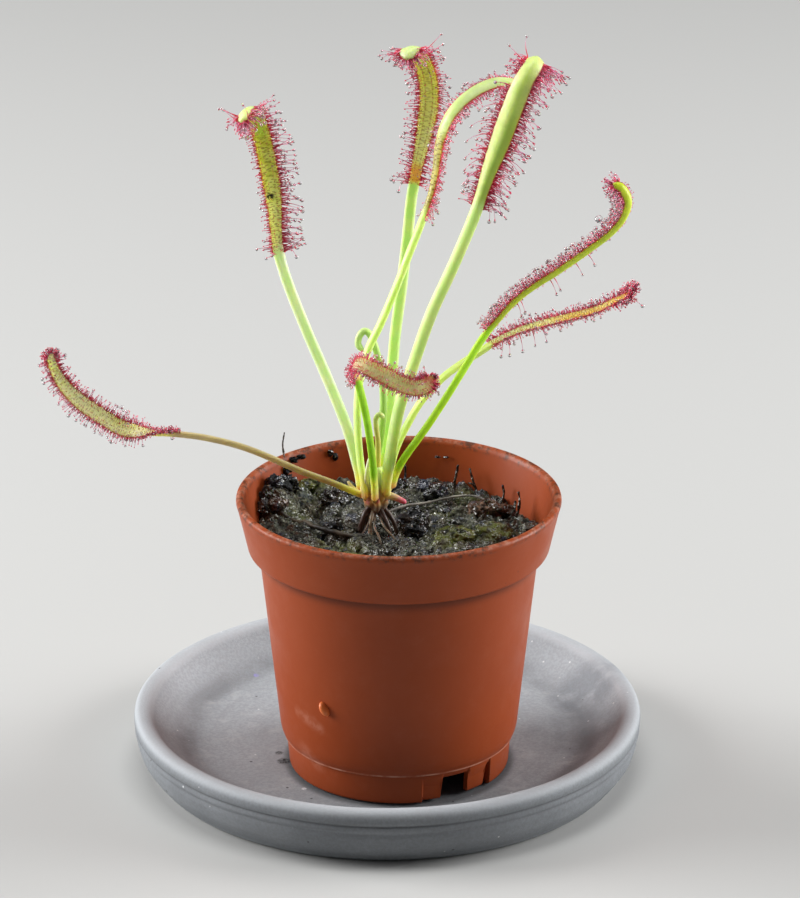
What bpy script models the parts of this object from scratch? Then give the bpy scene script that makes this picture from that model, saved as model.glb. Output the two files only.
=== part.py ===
"""Potted sundew: a small plastic pot standing in a clay saucer, with its soil and its plant.

The saucer's underside lies on z = 0 and is centred on the origin. +Z is up, and -Y is the front.
All the sizes below are in millimetres; MM turns them into metres.
"""
import math
import random

import bmesh
import bpy
import numpy as np

MM = 0.001
CLEARANCE = 0.3                 # between any two pieces that touch

# Saucer: one clay dish
SAUCER_RADIUS = 43.8
SAUCER_HEIGHT = 10.6
SAUCER_FLOOR = 4.7              # thickness of the floor
SAUCER_RIM = 2.9                # thickness of the rim
SAUCER_FOOT = 39.8              # radius of the underside
GROOVE_DEPTH = 0.45

# Pot: one moulded plastic cup with a collar, a ledge and a notched foot
POT_CENTRE = (2.0, -9.8)
POT_BOTTOM = SAUCER_FLOOR + CLEARANCE
POT_HEIGHT = 48.7
POT_WALL = 1.1
RIM_RADIUS = 27.45
COLLAR_HEIGHT = 9.4
COLLAR_FOOT = POT_HEIGHT - COLLAR_HEIGHT
COLLAR_FOOT_RADIUS = 25.5       # outer radius at the collar's lower edge
WALL_TOP_RADIUS = 23.65         # outer radius of the wall just below the collar
LEDGE_HEIGHT = 5.3              # from the pot's bottom up to the ledge
LEDGE_RADIUS = 20.0
LEDGE_STEP = 0.85
CHAMFER_HEIGHT = 2.2            # the wall slopes in over this height, down to the ledge
CHAMFER_INSET = 0.5
FOOT_RADIUS = 18.75
FLOOR_UNDERSIDE = 3.9           # from the pot's bottom up to the raised floor
FLOOR_THICKNESS = 1.2
FLOOR_TOP = FLOOR_UNDERSIDE + FLOOR_THICKNESS
NOTCH_COUNT = 2
NOTCH_MIDDLE = -56.6            # degrees from +X, the notch that shows in front
NOTCH_WIDTH = 42.0              # degrees
NOTCH_HEIGHT = 4.3
TAB_ANGLES = ((-21.0, -10.5), (5.4, 18.0))   # each notch's two legs, from its middle
TAB_SETBACK = 0.5
DRAIN_RADIUS = 1.9
DRAIN_DISTANCE = 11.0
NUB_ANGLE = -125.6              # the small moulded nub on the wall
NUB_HEIGHT = 17.0
NUB_SIZE = (1.3, 1.5, 3.1)
NUB_STANDS_OUT = 0.1
TURN_STEPS = 48

# Soil: one plug that fills the pot
SOIL_TOP = 41.0                 # above the pot's bottom
SOIL_RINGS = 12
SOIL_LUMPS = (                  # x, y, height, radius
    (-19.0, 12.0, 2.6, 3.6), (-18.8, 3.4, 2.2, 2.9), (-8.5, -24.6, 1.2, 4.6), (11.7, -9.8, 2.3, 3.8),
    (18.4, -6.4, 2.1, 3.2), (16.6, 0.4, 1.8, 2.6), (3.5, 3.5, 1.5, 4.4), (-11.5, 8.5, 1.0, 4.0),
    (7.0, 9.5, 1.4, 3.4), (-7.0, 1.5, 1.0, 3.6), (8.0, -19.5, 1.1, 4.2), (-15.5, -10.5, 0.8, 3.8),
)
SOIL_ROUGHNESS = 0.35

# Crown: the plant's short stem, on stilt roots that stand in holes in the soil
CROWN = (-1.9, -8.3)
CROWN_PROFILE = ((0.0, 55.8), (0.6, 55.65), (1.2, 55.2), (1.65, 54.6), (1.8, 53.6), (1.9, 52.4),
                 (1.9, 51.2), (1.6, 50.4), (1.0, 49.9), (0.0, 49.7))
ROOTS = (                       # radius, then the points of its centre line
    (0.55, ((-2.8, -9.2, 51.0), (-3.9, -10.0, 49.7), (-4.4, -10.3, 47.4), (-4.4, -10.3, 43.8))),
    (0.42, ((-2.3, -9.5, 50.8), (-2.7, -10.8, 49.3), (-2.8, -11.4, 47.2), (-2.8, -11.5, 43.6))),
    (0.45, ((-1.3, -9.2, 50.9), (-0.3, -10.5, 49.4), (0.5, -11.3, 47.3), (0.9, -11.6, 43.7))),
    (0.50, ((-0.9, -8.4, 51.0), (0.5, -8.9, 49.5), (1.5, -9.2, 47.2), (1.9, -9.3, 43.9))),
    (0.50, ((-2.4, -7.3, 51.0), (-3.2, -6.3, 49.3), (-3.5, -5.9, 47.0), (-3.5, -5.8, 43.6))),
    (0.45, ((-1.3, -7.5, 50.9), (-0.4, -6.5, 49.2), (0.0, -6.1, 47.0), (0.1, -6.0, 43.8))),
)
ROOT_SIDES = 6
HOLE_WIDER = CLEARANCE * 1.2       # all round a root

# Leaves: petiole width and thickness, blade width and thickness, where the blade starts along the
# path, the way its upper side faces there, the blade's twist in degrees, and the path's points.
# Some say over which share of the blade they widen or turn, or how much narrower the tip is
PETIOLE_BASE = (1.35, 1.15)     # width and thickness of a petiole where it leaves the crown
PETIOLE_BASE_LENGTH = 5.0
BLADE_CUP = 0.22                # how far a blade's edges stand up over its middle
BLADE_SWELL = 0.45              # share of the blade over which it widens
TAPER_FROM = 0.55               # share of the blade from which a narrower tip narrows
FLATTEN = (-3.0, 5.0)           # from where to where round the blade's start it thins
TIP_ROUND = 1.8
TIP_WIDTH = 0.42                # share of the width that is left at the very tip
LEAF_SIDES = 6
LEAVES = {
    "leaf_1": dict(
        petiole=(1.9, 1.35), blade=(3.1, 0.8), start=0.60, face=(0.30, -1.0, 0.05), twist=-8.0,
        path=((-4.2, -6.9, 53.2), (-4.9, -6.5, 57.4), (-6.7, -5.0, 63.8), (-9.9, -2.5, 71.5),
              (-13.4, 0.0, 79.2), (-16.6, 2.2, 87.0), (-18.2, 3.6, 92.2), (-18.7, 4.6, 96.6),
              (-18.9, 5.2, 100.0), (-19.6, 6.0, 105.0), (-20.6, 6.5, 110.2), (-21.7, 6.2, 114.6),
              (-22.8, 5.0, 116.7), (-23.6, 3.5, 116.7), (-24.0, 2.3, 115.6))),
    "leaf_2": dict(
        petiole=(1.9, 1.35), blade=(3.3, 0.8), start=0.64, face=(-0.12, -1.0, 0.0), twist=6.0,
        path=((-0.65, -5.9, 54.2), (-0.5, -5.4, 57.6), (0.0, -4.0, 62.0), (0.7, -1.5, 69.3),
              (1.3, 1.0, 77.4), (2.4, 3.4, 85.5), (3.4, 5.6, 93.6), (4.1, 7.2, 100.2),
              (4.9, 8.2, 104.8), (5.7, 8.8, 108.5), (6.7, 9.2, 113.6), (7.1, 9.2, 117.5),
              (6.8, 8.8, 121.3), (5.7, 7.8, 124.8), (4.5, 6.0, 127.0), (3.7, 4.2, 127.3),
              (3.2, 2.9, 126.4))),
    "leaf_3": dict(
        petiole=(1.75, 1.3), blade=(3.0, 0.8), start=0.61, face=(1.0, 0.30, 0.0), twist=26.0,
        path=((-3.7, -10.3, 53.4), (-3.9, -9.9, 56.2), (-4.5, -9.4, 60.5), (-4.9, -9.0, 66.8),
              (-4.6, -8.7, 73.0), (-3.1, -8.4, 79.1), (-1.1, -8.0, 83.4), (1.4, -7.2, 89.3),
              (3.7, -6.2, 95.2), (5.8, -5.0, 100.5), (7.3, -4.0, 104.9), (8.1, -3.0, 109.0),
              (8.6, -2.2, 113.0), (9.8, -1.4, 116.8), (12.0, -0.4, 119.7), (15.1, 1.0, 121.7),
              (18.0, 2.6, 122.4), (20.1, 4.4, 121.6), (20.8, 5.9, 119.9))),
    "leaf_4": dict(
        petiole=(2.05, 1.4), blade=(3.6, 0.9), start=0.64, face=(0.40, 1.0, 0.0), twist=0.0, taper=0.25,
        path=((-0.25, -10.4, 54.0), (0.0, -10.4, 57.0), (0.7, -10.6, 61.9), (2.0, -11.4, 69.6),
              (4.0, -12.6, 76.8), (7.2, -14.4, 87.4), (10.9, -16.0, 96.7), (14.3, -17.4, 105.9),
              (16.3, -18.2, 112.9), (18.2, -18.8, 118.6), (20.1, -19.2, 124.3), (21.9, -18.9, 129.0),
              (23.5, -17.5, 131.4), (24.2, -15.5, 131.9), (24.6, -13.5, 130.5), (24.7, -12.4, 128.8))),
    "leaf_5": dict(
        petiole=(1.5, 1.25), blade=(2.2, 0.75), start=0.49, face=(-0.5, 0.6, 0.6), twist=0.0,
        path=((0.8, -8.75, 54.8), (1.5, -9.35, 57.3), (3.0, -10.6, 60.8), (6.5, -11.6, 66.4),
              (9.9, -12.0, 72.1), (13.3, -12.4, 78.2), (16.0, -12.6, 83.0), (18.9, -12.6, 86.7),
              (21.5, -12.4, 89.5), (24.4, -12.2, 91.8), (27.5, -12.0, 93.8), (30.5, -11.6, 95.8),
              (33.6, -11.2, 98.0), (36.3, -10.8, 100.0), (38.4, -10.6, 102.2), (39.6, -10.4, 104.5),
              (39.7, -10.3, 106.5), (38.7, -10.2, 108.2), (37.4, -10.2, 108.9))),
    "leaf_6": dict(
        petiole=(1.4, 1.2), blade=(2.1, 0.75), start=0.54, face=(-0.25, -0.1, 0.95), twist=0.0,
        path=((0.55, -7.3, 54.8), (0.7, -7.2, 57.8), (1.7, -6.9, 61.3), (3.5, -6.2, 65.0),
              (5.7, -5.2, 68.6), (8.9, -4.0, 72.0), (11.9, -2.8, 74.1), (15.3, -1.4, 75.9),
              (18.5, 0.0, 77.5), (21.9, 1.4, 78.6), (25.3, 2.8, 79.2), (28.7, 4.0, 79.7),
              (32.1, 5.0, 80.2), (35.5, 5.8, 80.9), (38.5, 6.4, 82.2), (40.6, 6.5, 83.2),
              (41.6, 6.1, 84.3))),
    "leaf_7": dict(
        petiole=(1.5, 1.1), blade=(2.7, 0.8), start=0.56, face=(0.1, 0.6, 0.8), twist=-100.0,
        widens=0.25, turns=0.35,
        path=((-4.15, -8.6, 53.1), (-6.2, -9.3, 54.3), (-9.6, -10.3, 56.2), (-14.6, -11.2, 58.6),
              (-21.2, -12.2, 62.1), (-25.3, -12.8, 63.9), (-30.2, -13.4, 65.4), (-33.8, -13.8, 66.1),
              (-36.5, -14.0, 66.4), (-38.7, -14.2, 66.5), (-41.8, -14.4, 66.8), (-44.3, -14.4, 67.6),
              (-46.7, -14.2, 69.0), (-49.1, -13.8, 70.5), (-51.3, -13.2, 72.0), (-53.3, -12.6, 73.9),
              (-54.9, -12.0, 76.2), (-55.8, -12.0, 78.6), (-55.9, -12.6, 80.2))),
    "leaf_8": dict(
        petiole=(1.5, 1.2), blade=(2.7, 0.8), start=0.61, face=(-0.92, 0.35, 0.17), twist=0.0,
        path=((-1.95, -11.1, 53.6), (-2.1, -11.7, 56.3), (-2.4, -13.6, 61.1), (-2.9, -17.0, 67.1),
              (-3.5, -20.8, 72.7), (-4.3, -25.0, 78.2), (-5.0, -28.6, 82.4), (-5.2, -31.0, 84.7),
              (-4.5, -33.0, 85.9), (-3.0, -34.4, 85.9), (-0.2, -35.6, 84.9), (2.5, -36.2, 83.7),
              (4.6, -36.2, 83.1), (6.2, -35.6, 83.3), (7.4, -34.7, 84.2))),
}
YOUNG_LEAVES = {                # radius at the base, radius at the tip, then the path's points
    "young_leaf_1": (0.60, 0.52, (
        (-2.4, -5.7, 54.2), (-2.0, -6.0, 57.4), (-1.2, -6.3, 62.0), (-0.6, -6.3, 68.3),
        (-0.9, -6.2, 73.9), (-1.7, -6.1, 77.9), (-2.6, -6.0, 80.6), (-3.6, -6.0, 81.6),
        (-4.5, -6.1, 80.9), (-4.8, -6.3, 79.4), (-4.0, -6.5, 78.3))),
    "young_leaf_2": (0.50, 0.36, (
        (-1.7, -8.25, 56.15), (-1.5, -8.4, 59.2), (-1.5, -8.4, 62.7), (-1.8, -8.4, 65.4),
        (-1.8, -8.6, 67.0), (-1.2, -8.9, 67.8), (-0.5, -9.1, 67.3))),
}
STUB_LEAF = (0.75, 0.45, ((0.4, -8.8, 52.9), (1.6, -9.0, 52.9), (2.9, -9.1, 52.4), (4.0, -9.1, 51.9)))
CURL_SIDES = 6

# Tentacles: the stalked glands, here fewer than on the real blades
STATION_STEP = 2.2             # along the blade
EDGE_LENGTH = (2.0, 3.4)
FACE_LENGTH = (1.0, 1.5)
STALK_RADIUS = 0.20
HEAD_RADIUS = 0.32
HEAD_LENGTH = 0.35
ROOT_DEPTH = 0.55

# Colours: linear red, green, blue, then roughness
CLAY = ((0.35, 0.36, 0.37), 0.9)
PLASTIC = ((0.36, 0.085, 0.04), 0.42)
PEAT = ((0.035, 0.036, 0.028), 0.55)
STEM = ((0.36, 0.20, 0.07), 0.5)
YELLOW_GREEN = ((0.36, 0.42, 0.06), 0.4)
LIME = ((0.47, 0.62, 0.16), 0.4)
STRONG_GREEN = ((0.22, 0.45, 0.03), 0.4)
PALE_YELLOW = ((0.50, 0.42, 0.14), 0.45)
ORANGE_YELLOW = ((0.55, 0.33, 0.12), 0.45)
PALE_PINK = ((0.60, 0.38, 0.25), 0.45)
LEAF_COLOURS = {
    "leaf_1": YELLOW_GREEN, "leaf_2": YELLOW_GREEN, "leaf_3": LIME, "leaf_4": LIME,
    "leaf_5": STRONG_GREEN, "leaf_6": ORANGE_YELLOW, "leaf_7": PALE_YELLOW, "leaf_8": PALE_YELLOW,
}


def clear_scene():
    for old in list(bpy.data.objects):
        bpy.data.objects.remove(old, do_unlink=True)


def new_collection(name):
    group = bpy.data.collections.new(name)
    bpy.context.scene.collection.children.link(group)
    return group


def finish_material(name, colour):
    (red, green, blue), roughness = colour
    material = bpy.data.materials.new(name)
    material.use_nodes = True
    shader = material.node_tree.nodes["Principled BSDF"]
    shader.inputs["Base Color"].default_value = (red, green, blue, 1.0)
    shader.inputs["Roughness"].default_value = roughness
    shader.inputs["Metallic"].default_value = 0.0
    return material


def add_object(name, mesh, group, colour=None):
    piece = bpy.data.objects.new(name, mesh)
    group.objects.link(piece)
    if colour:
        mesh.materials.append(finish_material(name + "_finish", colour))
        mesh.shade_smooth()
        mesh.set_sharp_from_angle(angle=math.radians(40))
    return piece


def mark_cutter(piece):
    piece.hide_render = True
    piece.display_type = "WIRE"


def turned(name, profile, group, colour=None, steps=TURN_STEPS):
    """Turn a profile of (radius, height) points, inner floor first and outer side last, round Z."""
    mesh = bpy.data.meshes.new(name)
    points = [(radius * MM, 0.0, height * MM) for radius, height in profile]
    mesh.from_pydata(points, [(i, i + 1) for i in range(len(points) - 1)], [])
    piece = add_object(name, mesh, group, colour)
    screw = piece.modifiers.new("turn", "SCREW")
    screw.steps = steps
    screw.render_steps = steps
    screw.use_merge_vertices = True
    screw.merge_threshold = 0.00001
    screw.use_smooth_shade = False
    return piece


def evaluated_copy(piece):
    """The mesh of an object as its modifiers leave it, with its matrix applied."""
    bpy.context.view_layer.update()
    graph = bpy.context.evaluated_depsgraph_get()
    mesh = bpy.data.meshes.new_from_object(piece.evaluated_get(graph))
    mesh.transform(piece.matrix_world)
    return mesh


def freeze(piece):
    """Apply an object's modifiers and its place to its mesh."""
    mesh = evaluated_copy(piece)
    piece.modifiers.clear()
    piece.data = mesh
    piece.matrix_world.identity()


def combine(piece, group, operation, solver="EXACT"):
    """Join a collection's objects to a piece, or cut them out of it, and remove them."""
    cut = piece.modifiers.new(operation.lower(), "BOOLEAN")
    cut.operation = operation
    cut.operand_type = "COLLECTION"
    cut.collection = group
    cut.solver = solver
    freeze(piece)
    for tool in list(group.objects):
        bpy.data.objects.remove(tool, do_unlink=True)
    bpy.data.collections.remove(group)


def smooth_path(points, per_span):
    """Catmull-Rom curve through the points, with per_span steps between each two of them."""
    knots = np.array(points, float)
    before = 2 * knots[0] - knots[1]
    after = 2 * knots[-1] - knots[-2]
    knots = np.vstack([before, knots, after])
    t = np.linspace(0.0, 1.0, per_span, endpoint=False)[:, None]
    spans = []
    for a, b, c, d in zip(knots[:-3], knots[1:-2], knots[2:-1], knots[3:]):
        spans.append(0.5 * (2 * b + (c - a) * t + (2 * a - 5 * b + 4 * c - d) * t ** 2
                            + (3 * b - a - 3 * c + d) * t ** 3))
    return np.vstack(spans + [knots[-2][None]])


def unit(vector):
    return vector / np.linalg.norm(vector, axis=-1, keepdims=True)


def tangents(path):
    return unit(np.gradient(path, axis=0))


def carried_faces(path, start, face):
    """Unit vectors square to the path that face one way at index start and don't spin about it."""
    along = tangents(path)
    faces = np.zeros_like(path)
    first = np.array(face, float)
    faces[start] = unit(first - along[start] * first.dot(along[start]))
    for step in (1, -1):
        i = start
        while 0 <= i + step < len(path):
            moved = faces[i] - along[i + step] * faces[i].dot(along[i + step])
            faces[i + step] = unit(moved)
            i += step
    return faces


def turn_about(vectors, axes, degrees):
    """Turn each vector about its axis, to which it is square."""
    angle = np.radians(degrees)[:, None]
    return vectors * np.cos(angle) + np.cross(axes, vectors) * np.sin(angle)


def ramp(x):
    x = np.clip(x, 0.0, 1.0)
    return x * x * (3 - 2 * x)


def distances(path):
    return np.concatenate([[0.0], np.cumsum(np.linalg.norm(np.diff(path, axis=0), axis=1))])


def skin(name, rings, group, colour=None):
    """A closed solid through rings of points, with a flat cap at each end."""
    count, sides, _ = rings.shape
    faces = [tuple(range(sides))[::-1]]
    for i in range(count - 1):
        for j in range(sides):
            k = (j + 1) % sides
            faces.append((i * sides + j, i * sides + k, (i + 1) * sides + k, (i + 1) * sides + j))
    faces.append(tuple((count - 1) * sides + j for j in range(sides)))
    mesh = bpy.data.meshes.new(name)
    mesh.from_pydata((rings.reshape(-1, 3) * MM).tolist(), [], faces)
    split = bmesh.new()
    split.from_mesh(mesh)
    bmesh.ops.triangulate(split, faces=split.faces[:])
    bmesh.ops.recalc_face_normals(split, faces=split.faces[:])
    split.to_mesh(mesh)
    split.free()
    return add_object(name, mesh, group, colour)


def tube(name, radii, path, group, colour=None, sides=CURL_SIDES):
    """A round tube along a path, with a radius for each of its points."""
    along = tangents(path)
    side = carried_faces(path, 0, np.roll(along[0], 1) + (0.1, 0.2, 0.0))
    across = np.cross(along, side)
    angle = np.linspace(0.0, 2 * math.pi, sides, endpoint=False)[None, :, None]
    ring = side[:, None] * np.cos(angle) + across[:, None] * np.sin(angle)
    return skin(name, path[:, None] + ring * np.asarray(radii)[:, None, None], group, colour)


def saucer(group):
    radius, height = SAUCER_RADIUS, SAUCER_HEIGHT
    inner = radius - SAUCER_RIM
    profile = [
        (0.0, SAUCER_FLOOR), (31.0, SAUCER_FLOOR), (33.6, SAUCER_FLOOR + 0.15), (36.2, SAUCER_FLOOR + 1.2),
        (inner - 0.9, height - 1.5), (inner, height - 0.35), (inner + 0.9, height),
        (radius - 0.9, height - 0.05), (radius - 0.2, height - 0.5), (radius, height - 1.3),
        (radius, height - 2.4), (radius - GROOVE_DEPTH, height - 2.8), (radius - 0.15, height - 3.3),
        (radius - 0.15, height - 3.8), (radius - 0.6, height - 4.2), (radius - 0.5, height - 5.4),
        (radius - 1.7, 2.5), (SAUCER_FOOT + 0.4, 0.4), (SAUCER_FOOT, 0.0), (0.0, 0.0)]
    return turned("saucer", profile, group, CLAY)


def wall_radius(height):
    """Outer radius of the pot's wall between the ledge and the collar."""
    share = (height - LEDGE_HEIGHT) / (COLLAR_FOOT - LEDGE_HEIGHT)
    return LEDGE_RADIUS + (WALL_TOP_RADIUS - LEDGE_RADIUS) * share


def pot_inner_radius(height):
    """Inner radius of the pot at a height above its bottom."""
    below = wall_radius(height) - POT_WALL
    in_collar = COLLAR_FOOT_RADIUS - POT_WALL - 0.3 + (height - COLLAR_FOOT) * 0.19
    return below if height < COLLAR_FOOT - 1.0 else in_collar if height > COLLAR_FOOT + 0.6 else (
        below + (in_collar - below) * (height - COLLAR_FOOT + 1.0) / 1.6)


def sector(name, inner, outer, start, end, bottom, top, group, steps=8):
    """A block between two radii and two angles round the pot's axis."""
    angles = [math.radians(start + (end - start) * i / steps) for i in range(steps + 1)]
    outline = [(outer * math.cos(a), outer * math.sin(a)) for a in angles]
    outline += [(inner * math.cos(a), inner * math.sin(a)) for a in reversed(angles)]
    shape = bmesh.new()
    base = shape.faces.new([shape.verts.new((x * MM, y * MM, bottom * MM)) for x, y in outline])
    grown = bmesh.ops.extrude_face_region(shape, geom=[base])
    lifted = [part for part in grown["geom"] if isinstance(part, bmesh.types.BMVert)]
    bmesh.ops.translate(shape, verts=lifted, vec=(0.0, 0.0, (top - bottom) * MM))
    bmesh.ops.recalc_face_normals(shape, faces=shape.faces[:])
    mesh = bpy.data.meshes.new(name)
    shape.to_mesh(mesh)
    shape.free()
    block = add_object(name, mesh, group)
    mark_cutter(block)
    return block


def drain_hole(name, angle, group):
    bpy.ops.mesh.primitive_cylinder_add(vertices=16, radius=DRAIN_RADIUS * MM, depth=6 * MM)
    hole = bpy.context.object
    hole.name = name
    hole.location = (DRAIN_DISTANCE * MM * math.cos(angle), DRAIN_DISTANCE * MM * math.sin(angle),
                     (FLOOR_UNDERSIDE + FLOOR_THICKNESS / 2) * MM)
    for owner in list(hole.users_collection):
        owner.objects.unlink(hole)
    group.objects.link(hole)
    mark_cutter(hole)


def pot(group):
    ring_inner = FOOT_RADIUS - POT_WALL
    profile = [
        (0.0, FLOOR_TOP), (pot_inner_radius(FLOOR_TOP) - 0.8, FLOOR_TOP),
        (pot_inner_radius(FLOOR_TOP + 0.8), FLOOR_TOP + 0.8),
        (pot_inner_radius(COLLAR_FOOT - 1.1), COLLAR_FOOT - 1.1),
        (pot_inner_radius(COLLAR_FOOT + 0.7), COLLAR_FOOT + 0.7),
        (RIM_RADIUS - 1.5, POT_HEIGHT - 0.6), (RIM_RADIUS - 1.1, POT_HEIGHT - 0.1),
        (RIM_RADIUS - 0.6, POT_HEIGHT), (RIM_RADIUS - 0.1, POT_HEIGHT - 0.3), (RIM_RADIUS, POT_HEIGHT - 0.8),
        (RIM_RADIUS - 0.25, POT_HEIGHT - 1.5), (COLLAR_FOOT_RADIUS, COLLAR_FOOT + 0.4),
        (COLLAR_FOOT_RADIUS - 0.3, COLLAR_FOOT), (WALL_TOP_RADIUS + 0.3, COLLAR_FOOT),
        (WALL_TOP_RADIUS, COLLAR_FOOT - 0.3),
        (wall_radius(LEDGE_HEIGHT + CHAMFER_HEIGHT), LEDGE_HEIGHT + CHAMFER_HEIGHT),
        (LEDGE_RADIUS, LEDGE_HEIGHT + CHAMFER_HEIGHT / 2), (LEDGE_RADIUS - CHAMFER_INSET, LEDGE_HEIGHT + 0.1),
        (LEDGE_RADIUS - LEDGE_STEP, LEDGE_HEIGHT),
        (FOOT_RADIUS, 0.2), (FOOT_RADIUS - 0.2, 0.0), (ring_inner, 0.0),
        (ring_inner, FLOOR_UNDERSIDE), (0.0, FLOOR_UNDERSIDE)]
    cup = turned("pot", profile, group, PLASTIC)
    freeze(cup)

    cutters = new_collection("pot_cutters")
    for index in range(NOTCH_COUNT):
        middle = NOTCH_MIDDLE + index * 360.0 / NOTCH_COUNT
        sector("notch", ring_inner - 0.3, LEDGE_RADIUS + 1.0, middle - NOTCH_WIDTH / 2,
               middle + NOTCH_WIDTH / 2, -1.0, NOTCH_HEIGHT, cutters)
        drain_hole("drain", math.radians(middle + 180.0 / NOTCH_COUNT), cutters)
    combine(cup, cutters, "DIFFERENCE")

    extras = new_collection("pot_extras")
    for index in range(NOTCH_COUNT):
        middle = NOTCH_MIDDLE + index * 360.0 / NOTCH_COUNT
        for start, end in TAB_ANGLES:
            sector("tab", ring_inner - 0.45, FOOT_RADIUS - TAB_SETBACK, middle + start, middle + end,
                   0.15, NOTCH_HEIGHT + 0.45, extras, steps=3)
    bpy.ops.mesh.primitive_uv_sphere_add(segments=12, ring_count=6, radius=0.5 * MM)
    nub = bpy.context.object
    reach = wall_radius(NUB_HEIGHT) + NUB_STANDS_OUT
    angle = math.radians(NUB_ANGLE)
    nub.scale = NUB_SIZE
    nub.rotation_euler = (0.0, 0.0, angle)
    nub.location = (reach * MM * math.cos(angle), reach * MM * math.sin(angle), NUB_HEIGHT * MM)
    for owner in list(nub.users_collection):
        owner.objects.unlink(nub)
    extras.objects.link(nub)
    combine(cup, extras, "UNION")
    cup.location = (POT_CENTRE[0] * MM, POT_CENTRE[1] * MM, POT_BOTTOM * MM)
    return cup


def lump_height(x, y):
    """Height of the soil's surface over its level: rounded lumps, and a fine uneven ripple."""
    total = np.zeros_like(x)
    for lump_x, lump_y, height, radius in SOIL_LUMPS:
        squared = ((x - lump_x) ** 2 + (y - lump_y) ** 2) / radius ** 2
        total += height * np.exp(-squared ** 1.4)
    ripple = np.sin(1.9 * x + 0.7 * y) + np.sin(1.3 * y - 0.9 * x + 1.0) + np.sin(2.6 * x - 1.7 * y)
    return total + SOIL_ROUGHNESS * ripple / 1.6


def soil(group, root_holes):
    bottom = FLOOR_TOP + CLEARANCE
    edge = pot_inner_radius(SOIL_TOP) - CLEARANCE
    profile = [(edge * i / SOIL_RINGS, SOIL_TOP) for i in range(SOIL_RINGS + 1)]
    profile += [(pot_inner_radius(h) - CLEARANCE, h)
                for h in (COLLAR_FOOT + 0.7, COLLAR_FOOT - 1.1, FLOOR_TOP + 0.9)]
    profile += [(pot_inner_radius(FLOOR_TOP) - 0.8 - CLEARANCE, bottom), (0.0, bottom)]
    plug = turned("soil", profile, group, PEAT, steps=TURN_STEPS)
    plug.location = (POT_CENTRE[0] * MM, POT_CENTRE[1] * MM, POT_BOTTOM * MM)
    freeze(plug)

    top = (POT_BOTTOM + SOIL_TOP) * MM
    count = len(plug.data.vertices)
    points = np.zeros(count * 3)
    plug.data.vertices.foreach_get("co", points)
    points = points.reshape(-1, 3)
    offset = np.hypot(points[:, 0] / MM - POT_CENTRE[0], points[:, 1] / MM - POT_CENTRE[1])
    on_top = (np.abs(points[:, 2] - top) < 0.01 * MM) & (offset < edge - 0.1)
    rise = lump_height(points[:, 0] / MM, points[:, 1] / MM)
    points[on_top, 2] += rise[on_top] * MM
    plug.data.vertices.foreach_set("co", points.ravel())
    split = bmesh.new()
    split.from_mesh(plug.data)
    bmesh.ops.triangulate(split, faces=split.faces[:])
    split.to_mesh(plug.data)
    split.free()
    combine(plug, root_holes, "DIFFERENCE")
    return plug


def root_tube(name, radius, points, group, sides):
    path = smooth_path(points, 2)
    return tube(name, np.full(len(path), radius), path, group, sides=sides)


def holes_for_roots():
    """Plain holes in the soil, a clearance wider and deeper than the roots that stand in them."""
    holes = new_collection("root_holes")
    for index, (radius, points) in enumerate(ROOTS):
        x, y, z = points[-1]
        deeper = points[:-1] + ((x, y, z - CLEARANCE),)
        mark_cutter(root_tube(f"root_hole_{index}", radius + HOLE_WIDER, deeper, holes, ROOT_SIDES))
    return holes


def crown(group):
    stem = turned("crown", CROWN_PROFILE, group, STEM, steps=16)
    stem.location = (CROWN[0] * MM, CROWN[1] * MM, 0.0)
    freeze(stem)
    roots = new_collection("roots")
    for index, (radius, points) in enumerate(ROOTS):
        root_tube(f"root_{index}", radius, points, roots, ROOT_SIDES)
    combine(stem, roots, "UNION")
    return stem


def leaf_frame(shape):
    """The leaf's centre line, the way its upper side faces, its width, and the blade's start."""
    path = smooth_path(shape["path"], 2)
    along = distances(path)
    length = along[-1]
    start = shape["start"] * length
    first = int(np.argmin(np.abs(along - start)))
    faces = carried_faces(path, first, shape["face"])
    blade = (along - start) / (length - start)
    faces = turn_about(faces, tangents(path), shape["twist"] * ramp(blade / shape.get("turns", 1.0)))
    (base_width, base_thickness), (blade_width, blade_thickness) = PETIOLE_BASE, shape["blade"]
    petiole_width, petiole_thickness = shape["petiole"]
    base = np.clip(along / PETIOLE_BASE_LENGTH, 0.0, 1.0)
    swell = ramp(blade / shape.get("widens", BLADE_SWELL))
    flat = ramp((along - start - FLATTEN[0]) / (FLATTEN[1] - FLATTEN[0]))
    width = base_width + (petiole_width - base_width) * base + (blade_width - petiole_width) * swell
    thickness = (base_thickness + (petiole_thickness - base_thickness) * base
                 + (blade_thickness - petiole_thickness) * flat)
    width = width * (1 - shape.get("taper", 0.0) * ramp((blade - TAPER_FROM) / (1 - TAPER_FROM)))
    to_tip = np.clip((length - along) / TIP_ROUND, 0.0, 1.0)
    width = width * (TIP_WIDTH + (1 - TIP_WIDTH) * np.sqrt(1 - (1 - to_tip) ** 2))
    return path, along, faces, width, thickness, flat, start


def tentacle(name, root, head, group):
    """A three-sided stalk that widens to a head and ends in a point."""
    root = np.array(root)
    direction = unit(np.array(head) - root)
    length = np.linalg.norm(np.array(head) - root)
    side = unit(np.cross(direction, (0.31, 0.52, 0.80)))
    across = np.cross(direction, side)
    turns = np.radians((0.0, 120.0, 240.0))[:, None]
    ring = side * np.cos(turns) + across * np.sin(turns)
    rings = [root + ring * STALK_RADIUS, root + direction * (length - HEAD_LENGTH) + ring * HEAD_RADIUS]
    points = np.vstack(rings + [(root + direction * length)[None]]) * MM
    faces = [(2, 1, 0)]
    for i in range(3):
        k = (i + 1) % 3
        faces += [(i, k, 3 + k), (i, 3 + k, 3 + i), (3 + i, 3 + k, 6)]
    mesh = bpy.data.meshes.new(name)
    mesh.from_pydata(points.tolist(), [], faces)
    add_object(name, mesh, group)


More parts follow.
